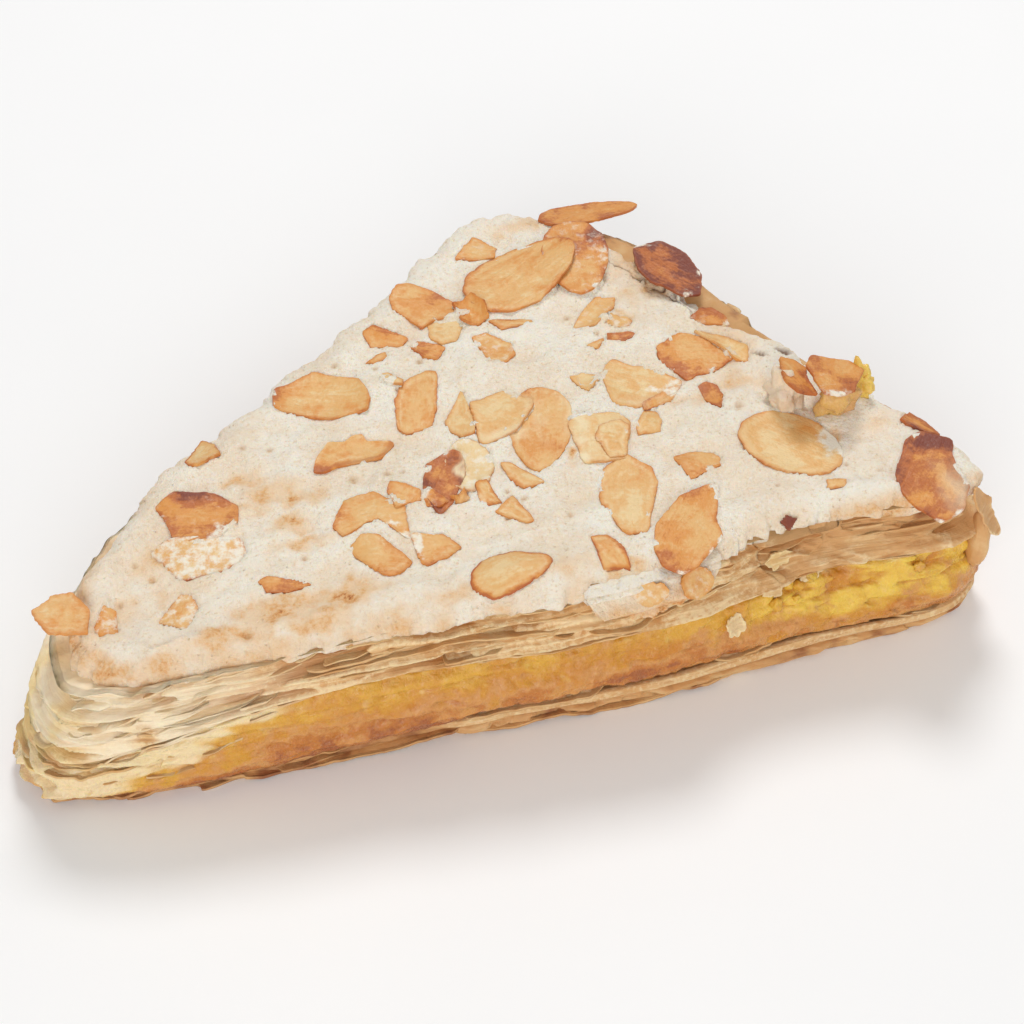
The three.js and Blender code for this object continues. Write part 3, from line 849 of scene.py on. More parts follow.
def make_icing():
    piece = bpy.data.objects.new("royal_icing_coat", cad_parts[ICING].data.copy())
    bpy.context.collection.objects.link(piece)
    edit(piece, lambda: merge(0.002))
    finish_with(piece, "REMESH", mode="VOXEL", voxel_size=GRAIN * MM)
    finish_with(piece, "SMOOTH", factor=0.5, iterations=5)
    places, ways = spots(piece), facing(piece)
    rim = rim_of(ICING)
    line = ring(rim, rows_of(ICING, 1.0)[0])
    run = np.roll(line, -1, 0) - np.roll(line, 1, 0)
    square = np.stack([run[:, 1], -run[:, 0]], 1) / np.linalg.norm(run[:, :2], axis=1)[:, None]
    slant = np.abs((square * WAYS[:, :2]).sum(1))
    away = places[:, :2] - MIDDLE
    distance = np.linalg.norm(away, axis=1)
    inset = (around(places, rim) - distance) * around(places, slant)
    top = step(-0.2, 0.4, ways[:, 2])
    inner = step(3, 8, inset) * top
    places[:, 2] += (rounded_top(ICING, places) - places[:, 2]) * inner
    plan = places * np.array([1, 1, 0])
    ragged = 1.2 * uneven(plan, 5.5, 51, 2) + 0.7 * uneven(plan, 1.6, 52, 3)
    near = step(3.5, 0.3, inset)
    left = step(-22, -54, places[:, 0]) * step(0, -18, places[:, 1]) * step(-68, -60, places[:, 0])
    ragged = (0.8 * ragged + 0.4) * near - (3.6 * bared(places) + 3.2 * left) * step(8, 0, inset)
    places[:, :2] += away / distance[:, None] * ragged[:, None]
    rise = 0.75 * uneven(plan, 12, 53) + 0.55 * uneven(plan, 4.6, 54, 2) + 0.2 * uneven(plan, 1.7, 55, 2)
    rise += 0.7 * np.exp(-((inset - 4) / 2.5) ** 2) * (1 - bared(places))
    rolled = 0.9 * np.clip(1 - inset / 2.5, 0, 1) ** 2 * (1 - bared(places))
    rolled += (1 - top) * near * (1.3 + 0.9 * uneven(plan, 7, 60, 2) + 0.4 * uneven(plan, 1.8, 65))
    crack = np.min([line_distance(plan + 0.5 * uneven(plan, 1.5, 57)[:, None], c) for c in CRACKS], 0)
    cleft = np.exp(-(crack / 0.3) ** 2) * step(-0.3, 0.1, uneven(plan, 3, 58))
    rng = np.random.default_rng(5)
    pits = [*PITS, *zip(rng.uniform(-60, 65, 50), rng.uniform(-38, 38, 50))]
    pit = np.zeros(len(places))
    for (x, y), wide in zip(pits, rng.uniform(0.3, 0.6, len(pits))):
        off = np.hypot(places[:, 0] - x, places[:, 1] - y) / wide
        pit = np.maximum(pit, np.exp(-off ** 2))
    rise -= 0.7 * cleft + 0.5 * pit
    places[:, 2] += top * rise - rolled - 0.8 * near * step(-0.1, 0.6, uneven(plan, 8, 56))
    put(piece, places)
    edge = step(3.2, 0.0, inset) * step(-12, -26, places[:, 1]) * (0.32 + 0.35 * uneven(plan, 6, 58, 2))
    # painted shade: low adds to the toast in the icing's hollows and over its left end, where less light
    # falls
    low = (0.2 * step(0.1, -0.6, rise) + 0.16 * step(-15, -60, places[:, 0])) * top
    note(piece, toast=np.maximum(dab(places, TOASTED), np.clip(edge, 0, 1)) + low,
         crack=cleft * top, pit=pit * top)
    return show(piece, "icing", iced(), ICING)


def bed(coat, slices):
    """Beds the slices in the icing: it meets them from below, and laps over some of their rims."""
    tree = tree_of(*slices)
    rims = []
    for piece in slices:
        inset = np.empty(len(piece.data.vertices), np.float32)
        piece.data.attributes["inset"].data.foreach_get("value", inset)
        rims.append(spots(piece)[inset < 0.12])
    edges = KDTree(sum(map(len, rims)))
    for i, spot in enumerate(np.concatenate(rims).tolist()):
        edges.insert(spot, i)
    edges.balance()
    places, ways = spots(coat), facing(coat)
    cling = 0.5 + 0.5 * uneven(places, (5, 5, 9), 59, 2)
    lap = lapped(places)
    down = Vector((0, 0, -1))
    for i in np.nonzero(ways[:, 2] > 0.25)[0]:
        spot = Vector(places[i])
        fall = tree.ray_cast(spot + Vector((0, 0, 4)), down, 5.4)[3]
        if fall is not None:
            top = spot.z + 4 - fall
            away = edges.find((spot.x, spot.y, top))[2]
            if lap[i] > 0.5 and away < 0.8 and fall > 2.3:
                places[i, 2] = top + 0.14 * (1 - away / 0.8)
            elif fall > 2.3:
                places[i, 2] += 4 - fall - 0.8 * SLICE
            continue
        near, *_, distance = tree.find_nearest(spot, 2.0)
        if near is not None and near.z > spot.z:
            climb = max(cling[i], 0.1, lap[i])
            places[i, 2] += min(near.z - spot.z, 0.8) * climb * math.exp(-(distance / 0.8) ** 2)
    put(coat, places)


# ---------------------------------------------------------------- the almonds

AROUND = 96  # points round a slice
RINGS = (0.97, 0.92, 0.85, 0.76, 0.66, 0.55, 0.44, 0.33, 0.22, 0.11)
SLICE = 0.48  # how thick a slice is
ALMONDS = {  # how toasted a slice is, how dark its skin, and how much icing dusts it
    1: (0.65, 0.9, 0.0), 2: (0.6, 0.5, 0.2), 3: (0.3, 1.0, 0.0), 4: (0.1, 0.3, 0.1),
    5: (0.4, 0.6, 0.0), 6: (0.35, 0.6, 0.15), 7: (1.12, 0.6, 0.05), 8: (0.5, 0.5, 0.05),
    9: (0.25, 0.5, 0.0), 10: (0.2, 0.4, 0.1), 11: (0.34, 0.8, 0.0), 12: (0.3, 0.6, 0.0),
    13: (0.3, 0.8, 0.0), 14: (0.15, 0.6, 0.0), 15: (0.34, 0.3, 0.0), 16: (0.15, 0.6, 0.0),
    17: (0.08, 0.5, 0.0), 18: (0.1, 0.6, 0.15), 19: (-0.25, 0.7, 0.42), 20: (0.42, 0.5, 0.0),
    21: (0.9, 0.3, 0.0), 22: (0.18, 0.8, 0.0), 23: (0.4, 0.6, 0.0), 24: (0.2, 1.8, 0.0),
    25: (0.12, 0.9, 0.0), 26: (0.66, 0.5, 0.0), 27: (0.6, 0.5, 0.05), 28: (0.78, 0.6, 0.0),
    29: (0.65, 0.6, 0.1), 30: (0.32, 0.5, 0.0), 31: (0.35, 0.5, 0.0), 32: (0.35, 0.7, 0.0),
    33: (0.3, 0.15, 0.3), 34: (0.3, 0.2, 0.25),
}
DABS = {  # where a slice is toasted, pale or dusted: x, y, radius along X and Y, and how much
    "toast": (
        (32, 31, 4, 3, 0.4), (45, 22, 2, 4, 0.25), (66, -29, 5, 2, 0.45), (24, 29, 4, 3, 0.25),
        (35, 0, 3, 3, 0.2), (36.5, -3, 3, 2, 0.15), (57, -20, 2.5, 2, 0.35), (21, -40, 3, 4, 0.3),
        (-9, -20, 3, 2, 0.25), (21.5, -25, 2.5, 3, 0.25), (10.5, -14, 4, 3, 0.2), (-29, 7, 3, 4, 0.3),
        (-44, -9, 3, 2, 0.4), (2, 24, 4, 2, 0.3), (-62, -27, 2, 4, 0.2), (27.5, -33, 3, 3, 0.15),
        (44, -22, 4, 3, -0.1), (49, -21, 2, 2, 0.3), (-24, -10, 2, 1.5, 0.35),
    ),
    "pale": (
        (-3.6, -17.0, 0.7, 5, 0.9), (15.8, -10.5, 1.2, 6, 0.7), (4.5, -10.5, 4, 1.0, 0.6),
        (14.0, -17.0, 1.0, 4, 0.9), (67, -40, 2.5, 5, 0.6), (10, -8.5, 1, 5, 0.3), (28, -8.5, 4, 1.0, 0.3),
    ),
    "frost": (
        (30.5, 25, 4, 5, 0.4), (52.5, -25, 2.6, 4, 1.0), (31.5, -6.5, 4, 1.6, 0.7),
        (-41.8, -17.6, 1.6, 2.4, 1.0), (-18.2, -24.0, 2.0, 0.8, 1.1), (-64.5, -28.6, 3.0, 3, 0.1),
        (10.5, -20.5, 4, 1.5, 0.7), (40.0, 6.5, 4, 2, 0.4), (42, 12.5, 3, 1.5, 0.6),
        (-14.4, -28.5, 0.8, 3, 0.9), (-11, 1, 1, 4, 0.6), (33, 20.5, 2, 2, 0.5), (53, -18.5, 1, 3, 0.3),
    ),
}
SHAPES = {  # corners of the slices that have snapped or worn: x and y
    4: ((-0.5, 21), (4, 20.5), (5.5, 18.5), (4.5, 16), (3, 13), (0.5, 13), (-1, 14.5), (-0.5, 18)),
    5: ((-5, 26), (-3, 28.5), (-0.5, 28.5), (2.5, 26), (7, 20), (4.5, 19), (0.5, 19), (-1.5, 17.5), (-5, 23)),
    6: ((8, 33), (10, 35.5), (12.5, 38), (14, 36.5), (15.5, 34), (14.5, 32), (10.5, 32)),
    7: ((36.5, 26.5), (42, 28), (45, 23.5), (45.5, 17), (43.5, 12), (40.5, 12), (36.5, 17), (35.5, 21)),
    8: ((33, 3), (37.5, 5), (42.5, 3.5), (44.5, -2), (40, -4.5), (37.5, -4.5), (35.5, -5.5), (32.5, 0)),
    9: ((39, 5), (41.5, 5), (44, 3.5), (47, -1), (46, -4), (44, -2.5), (43, 0), (41.5, 3)),
    10: ((22.5, -1.5), (24, 1), (25.5, 2), (27.5, 0), (30.5, -1), (34.5, -6), (33, -7.5), (28, -9.5),
         (25, -9.5), (22, -8)),
    11: ((-28, 7.5), (-27, 10), (-20.5, 12), (-14, 8), (-13.5, 5.5), (-13.5, 3), (-14.5, 1), (-20.5, 1.5),
         (-26.5, 4.5), (-28.5, 6)),
    12: ((-25, -8), (-22, -4.5), (-19.5, -4.5), (-18, -3.5), (-16.5, -3.5), (-16, -5), (-12.5, -5.5),
         (-12, -6.5), (-14.5, -9.5), (-22, -9.5), (-23.5, -10.5), (-25.5, -10)),
    13: ((-11, -4), (-10, 2), (-8, 5.5), (-3.5, 7), (-2, 6), (-4, -1.5), (-5.5, -4.5), (-10, -5.5)),
    14: ((-3.5, -4.5), (0, 0.5), (0.5, 1.5), (1, -5), (0, -9), (-2, -9), (-3.5, -7)),
    16: ((1, -2), (5.5, -1), (7, -0.5), (10.5, -4), (10.5, -5.5), (6.5, -10), (1.5, -11.5), (0, -11)),
    17: ((14, -11), (15.5, -9.5), (22.5, -11), (23.5, -13), (20.5, -20.5), (17, -20.5), (14, -19.5)),
    18: ((17, -15), (18.5, -13), (22, -12.5), (23, -14), (20.5, -20), (18, -20)),
    20: ((-25.5, -22), (-22.5, -17), (-18, -16.5), (-14, -21), (-14.5, -24.5), (-15, -29.5), (-16.5, -28.5),
         (-17, -24), (-18.5, -22.5), (-20.5, -22.5), (-24, -24.5)),
    21: ((-9, -13), (-5.5, -11.5), (-4, -11.5), (-3, -13), (-3.5, -16.5), (-7, -22), (-9.5, -24),
         (-11, -19.5), (-10, -16.5)),
    22: ((14.5, -25), (16, -21.5), (20.5, -19), (23.5, -23), (23.5, -26.5), (20, -33.5), (19, -36),
         (15.5, -35), (14, -28.5)),
    23: ((18.5, -39), (20.5, -35), (25.5, -30.5), (31, -29), (32, -29.5), (29.5, -35.5), (29.5, -39),
         (23.5, -44), (21, -44.5), (18.5, -42.5)),
    26: ((47, -14), (48, -11), (50.5, -12), (51.5, -13.5), (50.5, -16), (51, -20), (47.5, -20), (46.5, -17)),
    27: ((51, -14), (53, -11.5), (58.5, -13.5), (60, -16), (56.5, -21), (54, -22.5), (51, -22)),
    28: ((58.5, -34), (62.5, -28), (65.5, -26.5), (70, -29.5), (68.5, -32), (68.5, -39), (66, -43),
         (61.5, -45), (59, -41), (58, -38)),
    29: ((-49.5, -9.5), (-46.5, -7.5), (-40.5, -9.5), (-37.5, -13), (-38.5, -16.5), (-42, -18.5),
         (-48, -17.5), (-48.5, -13.5)),
    30: ((-70, -26), (-67.5, -24.5), (-67, -23.5), (-64, -23.5), (-62, -27.5), (-63, -32), (-68.5, -31),
         (-70, -27.5)),
    31: ((-24, -26.5), (-21.5, -24.5), (-19, -25.5), (-15.5, -31.5), (-18, -33.5), (-20, -33.5),
         (-22, -30.5)),
    32: ((-14.5, -26), (-11.5, -27.5), (-10, -27.5), (-8, -30), (-10, -32), (-13.5, -33), (-14.5, -32)),
}


def make_blank():
    """A round slice of radius 1, in rings, from which every slice is shaped."""
    blank = begin("round_slice", bpy.ops.mesh.primitive_circle_add, vertices=AROUND, radius=1)
    bpy.ops.object.mode_set(mode="EDIT")
    bpy.ops.mesh.select_all(action="SELECT")
    last = 1.0
    for share in RINGS:
        bpy.ops.mesh.extrude_region_move(TRANSFORM_OT_translate={"value": (0, 0, 0)})
        bpy.ops.transform.resize(value=(share / last,) * 3)
        last = share
    bpy.ops.mesh.extrude_region_move(TRANSFORM_OT_translate={"value": (0, 0, 0)})
    bpy.ops.mesh.merge(type="CENTER")
    bpy.ops.object.mode_set(mode="OBJECT")
    edit(blank, face_out)
    return blank


def reach_to(corners, turns):
    """How far an outline is from the origin, at each turn."""
    ways = np.stack([np.cos(turns), np.sin(turns)], 1)
    nearest = np.full(len(turns), np.inf)
    for a, b in zip(corners, np.roll(corners, -1, 0)):
        run = b - a
        cross = ways[:, 0] * run[1] - ways[:, 1] * run[0]
        safe = np.where(np.abs(cross) < 1e-9, 1e-9, cross)
        far = (a[0] * run[1] - a[1] * run[0]) / safe
        share = (a[0] * ways[:, 1] - a[1] * ways[:, 0]) / safe
        meets = (far > 0) & (share >= -1e-6) & (share <= 1 + 1e-6)
        nearest = np.where(meets, np.minimum(nearest, far), nearest)
    known = np.isfinite(nearest)
    return np.interp(turns, turns[known], nearest[known], period=2 * math.pi)


AZIMUTHS = np.linspace(0, 2 * math.pi, AROUND, endpoint=False)
CORNER = np.array([0.0, 0.2, 0.6, 0.2, 0.0])  # how a slice's corners are rounded


def shape_slice(blank, name, centre, axes, outline, seed, trees=None, thick=SLICE, rough=1.0, sunk=0.3,
                lift=lambda x, y: 0 * x):
    """A slice from the blank: outline gives its reach at each azimuth, lift its warp off the flat."""
    piece = bpy.data.objects.new(name, blank.data.copy())
    bpy.context.collection.objects.link(piece)
    turned = outwards(AZIMUTHS)
    outline = np.convolve(np.concatenate([outline[-2:], outline, outline[:2]]), CORNER, "valid")
    worn = 0.2 * uneven(turned * 3, 1.6, seed, 2) + 0.13 * uneven(turned * 9, 1.2, seed + 1, 2)
    outline = outline + rough * worn
    unit = spots(piece) * MM
    turn, share = np.arctan2(unit[:, 1], unit[:, 0]), np.hypot(unit[:, 0], unit[:, 1])
    radius = share * np.interp(turn, AZIMUTHS, outline, period=2 * math.pi)
    own = np.stack([radius * np.cos(turn), radius * np.sin(turn), 0 * radius], 1)
    places = centre + np.column_stack([own[:, :2], lift(own[:, 0], own[:, 1])]) @ axes
    if trees:
        places[:, 2] = lay(trees, places, sunk)
    warp = 0.1 * step(0.72, 0.95, share) * step(-0.2, 0.4, uneven(own, 5, seed + 6))
    warp += 0.2 * uneven(own, 7, seed + 2) + 0.1 * uneven(own, 2.6, seed + 3, 2)
    put(piece, places + warp[:, None] * axes[2])
    note(piece, along=own[:, 0], across=own[:, 1], kin=seed * 0.37)
    finish_with(piece, "SOLIDIFY", thickness=thick * MM, offset=0.0)
    finish_with(piece, "BEVEL", width=0.09 * MM, segments=2, limit_method="ANGLE")
    places, ways = spots(piece), facing(piece)
    places += ways * (0.04 * uneven(places, 1.1, seed + 4, 2))[:, None]
    put(piece, places)
    own = (places - centre) @ axes.T
    radius, turn = np.hypot(own[:, 0], own[:, 1]), np.arctan2(own[:, 1], own[:, 0])
    inset = np.maximum(np.interp(turn, AZIMUTHS, outline, period=2 * math.pi) - radius, 0)
    return piece, places, inset


def lapped(places):
    """Where the icing laps over the rims of the slices."""
    return step(0.42, 0.6, uneven(places * (1, 1, 0), 4.2, 85, 2))


def tint(piece, places, inset, toast, skin, frost, bedded=True):
    """How toasted, dark-skinned, pale and dusted a slice is, place by place."""
    toasted = sum(amount * np.exp(-(((places[:, :2] - (x, y)) / (wide, deep)) ** 2).sum(1))
                  for x, y, wide, deep, amount in DABS["toast"])
    browned = (0.08 + 0.26 * skin) * (0.65 + 0.8 * uneven(places, 4.5, 87))
    # lip: where the painted highlight runs, about 0.9 mm in from the rim
    note(piece, toast=toast + toasted + browned * np.exp(-(inset / 0.9) ** 2) - 0.1 * step(1.4, 3.5, inset),
         rim=0.8 * skin * np.exp(-(inset / 0.22) ** 2),
         lip=np.exp(-((inset - 0.9) / 0.45) ** 2), pale=dab(places, DABS["pale"], 81),
         inset=inset if bedded else 9,
         frost=np.maximum(frost, dab(places, DABS["frost"], 83))
         + 0.6 * bedded * lapped(places) * step(1.0, 0.3, inset))


def lay(trees, places, sunk):
    """Heights of a gently bent slice that rests on whatever is below it, or stays if that is too little."""
    plan = places[:, :2]
    base, *others = [heights_over(tree, places) for tree in trees]
    stacked = np.fmax.reduce([*others, base - 9]) + SLICE
    found = np.fmax(base, stacked)
    known, on = ~np.isnan(found), stacked > base
    x, y = (plan - plan.mean(0)).T
    terms = np.stack([x * 0 + 1, x, y, x * x, x * y, y * y], 1)
    if known.mean() < 0.5:
        return places[:, 2]
    if known.mean() < 0.9 or np.ptp(found[known]) > 3:
        terms = terms[:, :3]
    fit = np.linalg.lstsq(terms[known], found[known], rcond=None)[0]
    over = terms @ fit - found
    drop = np.percentile(over[known & ~on], 8) if (known & ~on).any() else 9
    if on.any():
        drop = min(drop, np.percentile(over[on], 6) + sunk)
    return terms @ fit - drop - sunk


def almond(node, number, blank, finish, trees):
    """The slice that stands for one of the frame's nodes, with its place, outline and curl."""
    corners = np.unique(np.round(spots(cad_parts[node]), 4), axis=0)
    centre = corners.mean(0)
    axes = np.linalg.svd(corners - centre, full_matrices=False)[2]
    if axes[2][2] < 0:
        axes = axes * [[1], [1], [-1]]
    if np.linalg.det(axes) < 0:
        axes = axes * [[1], [-1], [1]]
    own = (corners - centre) @ axes.T
    rim = own[convex_hull_2d(own[:, :2].tolist()), :2]
    if number in SHAPES:
        rim = (np.array(SHAPES[number]) - centre[:2]) @ np.linalg.inv(axes[:2, :2])
    middle = (rim.min(0) + rim.max(0)) / 2
    if number == 20:  # bent round a notch, so its middle is moved into the wide part
        middle = rim.mean(0) + 0.25 * (rim[2] - rim.mean(0))
    outline = reach_to(rim - middle, AZIMUTHS)
    spot = centre + np.array([*middle, 0]) @ axes
    name = node.replace("flake", "slice")
    piece, places, inset = shape_slice(blank, name, spot, axes, outline, 400 + 10 * number,
                                       trees if number not in STANDING else None)
    tint(piece, places, inset, *ALMONDS[number], number not in STANDING)
    trees.append(tree_of(piece))
    return show(piece, "almond", finish, node, angle=50)


def resting(node):
    """How high a slice lies over the icing, which puts stacked slices in order."""
    centre = spots(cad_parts[node]).mean(0)
    over = 3.0 if node[-2:] in ("03", "21", "23") else 0.0
    return over + centre[2] - on_surface(ICING, centre[None])[0]


STANDING = (1, 26, 27, 30, 33, 34)  # slices that don't lie flat


BITS = (  # small broken slices: toast, skin, dusting, how deep it is sunk, and its corners
    (0.35, 0.4, 0.2, 0.55, ((27.5, 18), (31, 17.5), (30, 15), (25.5, 10.5), (21.5, 11), (24.5, 15))),
    (0.35, 0.4, 0.35, 0.6, ((27, 10.5), (28.5, 13), (31, 12), (31.5, 10.5), (30, 9), (28, 9.5))),
    (0.6, 0.6, 0.1, 0.5, ((26.5, 8.5), (30, 8), (31, 7), (29, 6), (26, 6.5))),
    (0.3, 0.5, 0.2, 0.5, ((22.5, 6.5), (25.5, 7.5), (25.5, 6.5), (24, 5))),
    (0.5, 0.8, 0.0, 0.3, ((4.5, 21.5), (8, 22.5), (9.5, 20), (9.5, 17), (7.5, 16), (5, 17))),
    (0.72, 0.5, 0.0, 0.4, ((40.5, 8.5), (43, 10.5), (45, 10.5), (46.5, 8.5), (46.5, 6), (41.5, 7))),
    (0.55, 0.7, 0.0, 0.45, ((-11, 19), (-9, 20), (-6, 18), (-4, 16.5), (-5.5, 15), (-10.5, 16))),
    (0.4, 0.5, 0.1, 0.4, ((-12, 12.5), (-8.5, 14), (-8.5, 12.5), (-10.5, 11.5))),
    (0.6, 0.5, 0.0, 0.4, ((-4.5, 14), (-3, 15), (1, 12.5), (-1, 9.5), (-3, 10.5))),
    (0.25, 0.4, 0.25, 0.55, ((5.5, 13.5), (8, 14), (11, 9.5), (11, 7), (9, 5.5), (6.5, 6.5))),
    (0.35, 0.7, 0.0, 0.35, ((9, 16.5), (16, 15), (16, 14), (13, 13.5), (10.5, 13.5))),
    (0.15, 0.5, 0.0, 0.35, ((17.5, -0.5), (20, 0), (22.5, -2), (19.5, -4.5), (18.5, -3.5))),
    (0.2, 0.4, 0.1, 0.5, ((24, -14), (26.5, -10.5), (28.5, -10.5), (28.5, -13), (27.5, -15.5), (24, -15.5))),
    (0.5, 0.4, 0.2, 0.65, ((26.5, -9), (32, -6.5), (34, -6.5), (31.5, -9), (26.5, -10.5))),
    (0.7, 0.4, 0.0, 0.45, ((36.5, -7), (38, -6.5), (39.5, -7.5), (39.5, -10.5), (38, -13.5), (36.5, -10.5))),
    (0.42, 0.4, 0.1, 0.45, ((27.5, -21), (30.5, -21), (33.5, -22), (34.5, -23), (34, -25), (28.5, -27))),
    (0.2, 0.6, 0.0, 0.3, ((2, -15.5), (3.5, -16), (7.5, -21.5), (6, -22), (4, -22), (2.5, -19.5))),
    (0.25, 0.5, 0.0, 0.3, ((-1.5, -25.5), (2, -22.5), (3.5, -27.5), (3.5, -29), (2.5, -29))),
    (0.25, 1.0, 0.0, 0.3, ((-3, -19.5), (-1, -19), (0, -24), (-1.5, -24), (-3, -23.5))),
    (0.35, 0.5, 0.0, 0.35, ((-7, -21), (-4.5, -19.5), (-4.5, -21.5), (-6, -22))),
    (0.5, 0.5, 0.2, 0.35, ((-11, -19.5), (-9.5, -19), (-7.5, -21.5), (-9, -22.5), (-11, -21.5))),
    (0.45, 0.6, 0.0, 0.3, ((-16, -17.5), (-15, -15.5), (-12, -17.5), (-11, -18.5), (-11.5, -20.5),
                           (-15.5, -21))),
    (0.1, 0.6, 0.0, 0.1, ((-11, 7.5), (-9.5, 8), (-7.5, 5.5), (-8, 4.5), (-10.5, 6))),
    (0.4, 0.4, 0.35, 0.6, ((-62, -30), (-60, -26.5), (-58.5, -27.5), (-59, -32), (-61.5, -32))),
    (0.3, 0.5, 0.4, 0.65, ((-53, -31.5), (-49, -27), (-47.5, -27.5), (-47, -30.5), (-49.5, -34.5))),
    (0.55, 0.8, 0.0, 0.45, ((-38, -28.5), (-36.5, -28), (-34.5, -29), (-32, -30), (-30.5, -31.5), (-34, -32),
                            (-37, -31))),
    (0.3, 1.6, 0.55, 0.8, ((-52, -18), (-48.5, -16.5), (-38.5, -19), (-38, -22.5), (-42, -25),
                           (-48.5, -24.5))),
    (0.25, 1.6, 0.0, 0.45, ((10.5, -34), (13, -34.5), (14.5, -37.5), (14.5, -41.5), (10.5, -40.5))),
    (0.25, 0.5, 0.2, 0.5, ((48, -32.5), (51, -33), (50.5, -34.5), (47.5, -34))),
    (0.8, 0.9, 0.0, 0.3, ((64, -22.5), (66.5, -20.5), (68.5, -22.5), (69.5, -26), (67, -25.5), (64.5, -24))),
    (1.1, 0.5, 0.0, 0.3, ((39, -37.5), (40, -37), (41.5, -37.5), (40, -38.5))),
    (0.25, 1.2, 0.0, 0.3, ((-43.5, -1.5), (-40, 3.5), (-38.5, 1.5), (-38, -2), (-41.5, -3.5), (-43, -3))),
)


def join(pieces, name):
    grab(*pieces)
    bpy.ops.object.join()
    joined = bpy.context.object
    joined.name = joined.data.name = name
    return joined


def make_bits(blank, finish, trees):
    made = []
    for i, (toast, skin, frost, sunk, corners) in enumerate(BITS):
        rim = np.array(corners, float)
        middle = (rim.min(0) + rim.max(0)) / 2
        long = rim[np.argmax(np.linalg.norm(rim - middle, axis=1))] - middle
        ahead = np.array([*long, 0]) / np.linalg.norm(long)
        axes = np.stack([ahead, np.cross([0, 0, 1.0], ahead), [0, 0, 1.0]])
        own = (rim - middle) @ np.linalg.inv(axes[:2, :2])
        piece, places, inset = shape_slice(blank, f"bit_{i + 1:02d}", np.array([*middle, 0]), axes,
                                           reach_to(own, AZIMUTHS), 800 + 10 * i, trees, 0.5, 0.7, sunk)
        tint(piece, places, inset, toast, skin, frost)
        trees.append(tree_of(piece))
        made.append(piece)
    return show(join(made, "almond_bits"), "almond", finish, angle=50)


# ---------------------------------------------------------------- crumbs, shards and the drip

def shard(blank, name, place, out, length, width, seed, lean):
    """A thin curled piece of pastry that lies against a side, its outer face turned to out."""
    out = out / np.linalg.norm(out)
    ahead = np.cross([0, 0, 1.0], out)
    ahead /= np.linalg.norm(ahead)
    ahead = ahead * math.cos(lean) + np.cross(out, ahead) * math.sin(lean)
    axes = np.stack([ahead, np.cross(out, ahead), out])
    ways = outwards(AZIMUTHS)
    oval = 1 / np.hypot(ways[:, 0] / (length / 2), ways[:, 1] / (width / 2))
    oval *= 1 + 0.45 * uneven(ways * 2, 1.7, seed) + 0.25 * uneven(ways * 2, 0.8, seed + 1)

    def lift(x, y):
        return 0.15 * y + 0.27 * y * y / width + 0.075 * x * x / length

    piece, places, inset = shape_slice(blank, name, place, axes, oval, seed + 5,
                                       thick=0.32, rough=0.22 * width, lift=lift)
    note(piece, edge=np.exp(-inset / 0.6), gap=0.35 * step(0.3, 1.5, inset), leaf=places[:, 2])
    loose(piece)
    return piece


TORN = (  # pale flakes of the broken end: x, height, out from the side, length, width, lean, whiteness
    (46, 22.3, -2.8, 4.5, 2.6, 0.1, 0.2), (45.5, 18.2, -2.0, 6.0, 3.4, 0.5, 0.35),
    (38, 16.6, -1.0, 3.6, 2.8, -0.6, 0.2), (31, 13.0, 0.1, 4.0, 2.8, 1.4, 0.35),
    (54, 19.4, -2.5, 5.0, 2.4, -0.2, 0.0), (59, 20.6, -2.5, 5.5, 2.2, 0.2, -0.1),
    (39, 21.4, -1.7, 5.0, 2.4, 0.0, 0.0), (25, 20.6, -0.9, 6.0, 2.2, 0.1, 0.1),
)


def make_torn(blank, finish):
    """Torn flakes of pastry that cling to the broken end."""
    made = []
    for i, (x, height, off, length, width, lean, white) in enumerate(TORN):
        node = PASTRY if height > 16.8 else CREAM
        sides = ring(side_of(node, np.full(STATIONS, min(height, 16.4) if node == CREAM else height)), height)
        station = np.argmin(np.abs(sides[:, 0] - x) + 99 * (sides[:, 1] > -20))
        out = np.array([0.15, -0.85, 0.5])
        place = sides[station] + out * off
        piece = shard(blank, f"torn_{i}", place, out, length, width, 2000 + 20 * i, lean)
        note(piece, white=white, yellow=0.2, brown=-0.3)
        made.append(piece)
    return show(join(made, "torn_flakes"), "pastry", finish, angle=60)


def lump_of(name, place, size, seed, rough=0.35, detail=3):
    """An uneven lump."""
    piece = begin(name, bpy.ops.mesh.primitive_ico_sphere_add, subdivisions=detail, radius=1)
    ball = spots(piece) * MM
    ball *= (1 + rough * uneven(ball, 0.9, seed, 2) + 0.4 * rough * uneven(ball, 0.35, seed + 3, 2))[:, None]
    put(piece, np.array(place) + ball * np.array(size) / 2)
    return piece


def make_crumbs(finish):
    """Broken crumbs of cream on the ledge of the broken end."""
    rng = np.random.default_rng(23)
    made = []
    for i in range(30):
        height = rng.uniform(13.5, 18)
        sides = ring(side_of(CREAM, np.full(STATIONS, min(height, 16.5))), height)
        station = rng.choice(np.nonzero(broken_end(sides) > 0.5)[0])
        place = sides[station] - WAYS[station] * (0.8 + 0.7 * max(0, height - 14) + rng.uniform(-0.5, 0.6))
        size = rng.uniform(0.8, 1.7) ** 1.6 * rng.uniform(0.8, 1.4, 3)
        piece = lump_of(f"crumb_{i}", place, size, 3000 + 10 * i)
        note(piece, bake=rng.uniform(-0.2, 0.3), lemon=rng.uniform(0.1, 0.9), white=0.0, deep=0.0)
        made.append(piece)
    piece = join(made, "cream_crumbs")
    return show(piece, "cream", finish)


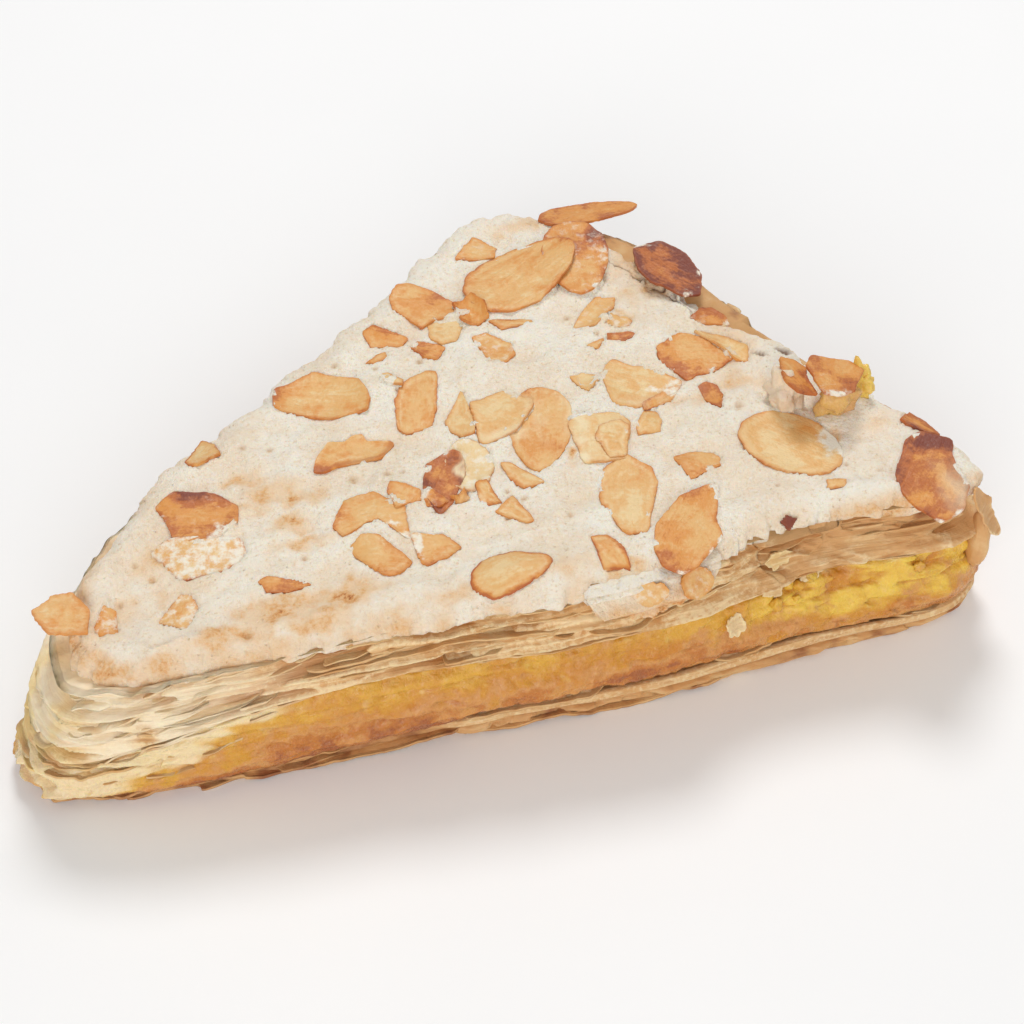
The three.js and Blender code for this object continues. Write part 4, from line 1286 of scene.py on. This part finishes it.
def make_drip(blank, leaves):
    """The smooth tan bulge that has run down the wide end, and the flap of pastry over it."""
    piece = lump_of("baked_drip", (72.3, -37.8, 15.4), (3.2, 4.4, 12.0), 71, 0.12, 4)
    note(piece, edge=0.3, gap=0.0, white=0.0, yellow=0.0, brown=0.45, leaf=0.1 * spots(piece)[:, 2])
    show(piece, "pastry", leaves)
    piece = shard(blank, "end_flap", np.array([72.6, -38.0, 21.5]), np.array([0.75, -0.55, 0.35]),
                  11, 3.8, 2900, -1.25)
    show(piece, "pastry", leaves, angle=60)


def make_tongue(finish):
    """The lobe of icing that has slipped over the edge, under the two slices that hang there."""
    piece = begin("icing_lobe", bpy.ops.mesh.primitive_grid_add, x_subdivisions=90, y_subdivisions=48)
    unit = spots(piece) * MM
    x = 17.5 + 10.5 * unit[:, 0]
    flat = np.stack([x, 0 * x, 0 * x], 1)
    bell = np.sqrt(np.maximum(0, 1 - (unit[:, 0] * 0.96) ** 2))
    drop = bell * (6.8 + 1.0 * uneven(flat, 3.5, 601, 2) + 0.4 * uneven(flat, 1.1, 602, 2))
    past = np.where(unit[:, 1] > 0, -2.2 * unit[:, 1], -drop * unit[:, 1])  # how far past the icing's edge
    rim = ring(rim_of(ICING), rows_of(ICING, 1.0)[1])
    front = rim[rim[:, 1] < -25]
    front = front[np.argsort(front[:, 0])]
    edge_y, edge_z = np.interp(x, front[:, 0], front[:, 1]), np.interp(x, front[:, 0], front[:, 2])
    z = edge_z - 1.5 - 0.85 * np.maximum(past, 0) + 0.6 * np.minimum(past, 0)
    starts = np.stack([x, 0 * x - FAR, np.minimum(z, edge_z - 2.5)], 1)
    side_y = hit_from(solid[PASTRY], starts, np.array([0, 1.0, 0])) - FAR
    y = np.where(past < 0, edge_y + 0.4 - past, side_y - 1.7 - 0.15 * past)
    y += (edge_y + 0.4 - y) * step(1.2, 0.0, past) * (past > 0)
    places = np.stack([x, y, z], 1)
    places += uneven(places, 3.2, 603, 2)[:, None] * np.array([0, -0.24, 0.24])
    put(piece, places)
    finish_with(piece, "SOLIDIFY", thickness=0.9 * MM, offset=0.0)
    finish_with(piece, "BEVEL", width=0.25 * MM, segments=2, limit_method="ANGLE")
    edit(piece, face_out)
    places = spots(piece)
    low = step(1.5, -3.5, places[:, 2] - np.interp(places[:, 0], front[:, 0], front[:, 2]) + 3.5)
    note(piece, toast=0.15 + 0.55 * low, crack=0.0, pit=0.0)
    return show(piece, "icing", finish)


def make_lumps(finish, icing):
    """The lumps that hold two slices up: one of icing, one golden, and one of torn yellow cream."""
    icy = dict(toast=0.3, crack=0.0, pit=0.0)
    golden = dict(bake=0.15, lemon=0.3, white=0.25, deep=0.0)
    torn = dict(bake=-0.4, lemon=1.0, white=0.1, deep=0.0)
    lumps = {  # place over the plan and height over the icing, size, roughness, and what its finish reads
        "icing_lump": ((48.2, -14.2, 2.6), (5.4, 5.4, 7.4), 0.5, icy),
        "golden_lump": ((55.2, -17.8, 2.4), (6.0, 5.0, 6.4), 0.5, golden),
        "yellow_lump": ((60.2, -15.6, 3.0), (3.2, 3.8, 5.0), 0.8, torn),
    }
    for i, (name, ((x, y, over), size, rough, values)) in enumerate(lumps.items()):
        place = np.array([[x, y, 0.0]])
        place[0, 2] = on_surface(ICING, place)[0] + over
        piece = lump_of(name, place[0], size, 900 + 10 * i, rough, 4)
        note(piece, **values)
        if values is icy:
            show(piece, "icing", icing)
        else:
            show(piece, "cream", finish, *([LUMP] if values is golden else []))


set_camera()
set_lights()
make_table()
leaves = flaky()
make_crust(leaves)
filling = make_cream().data.materials[0]
make_pastry_core(leaves)
make_leaves(leaves)
nut = toasted_almond()
round_slice = make_blank()
coat = make_icing()
make_lumps(filling, coat.data.materials[0])
below = [tree_of(coat)]
ranked = sorted(FLAKES, key=lambda node: float(resting(node)))
almonds = [almond(node, FLAKES.index(node) + 1, round_slice, nut, below) for node in ranked]
bits = make_bits(round_slice, nut, below)
bed(coat, [*almonds, bits])
make_torn(round_slice, leaves)
make_crumbs(filling)
make_drip(round_slice, leaves)
make_tongue(coat.data.materials[0])
bpy.data.objects.remove(round_slice)
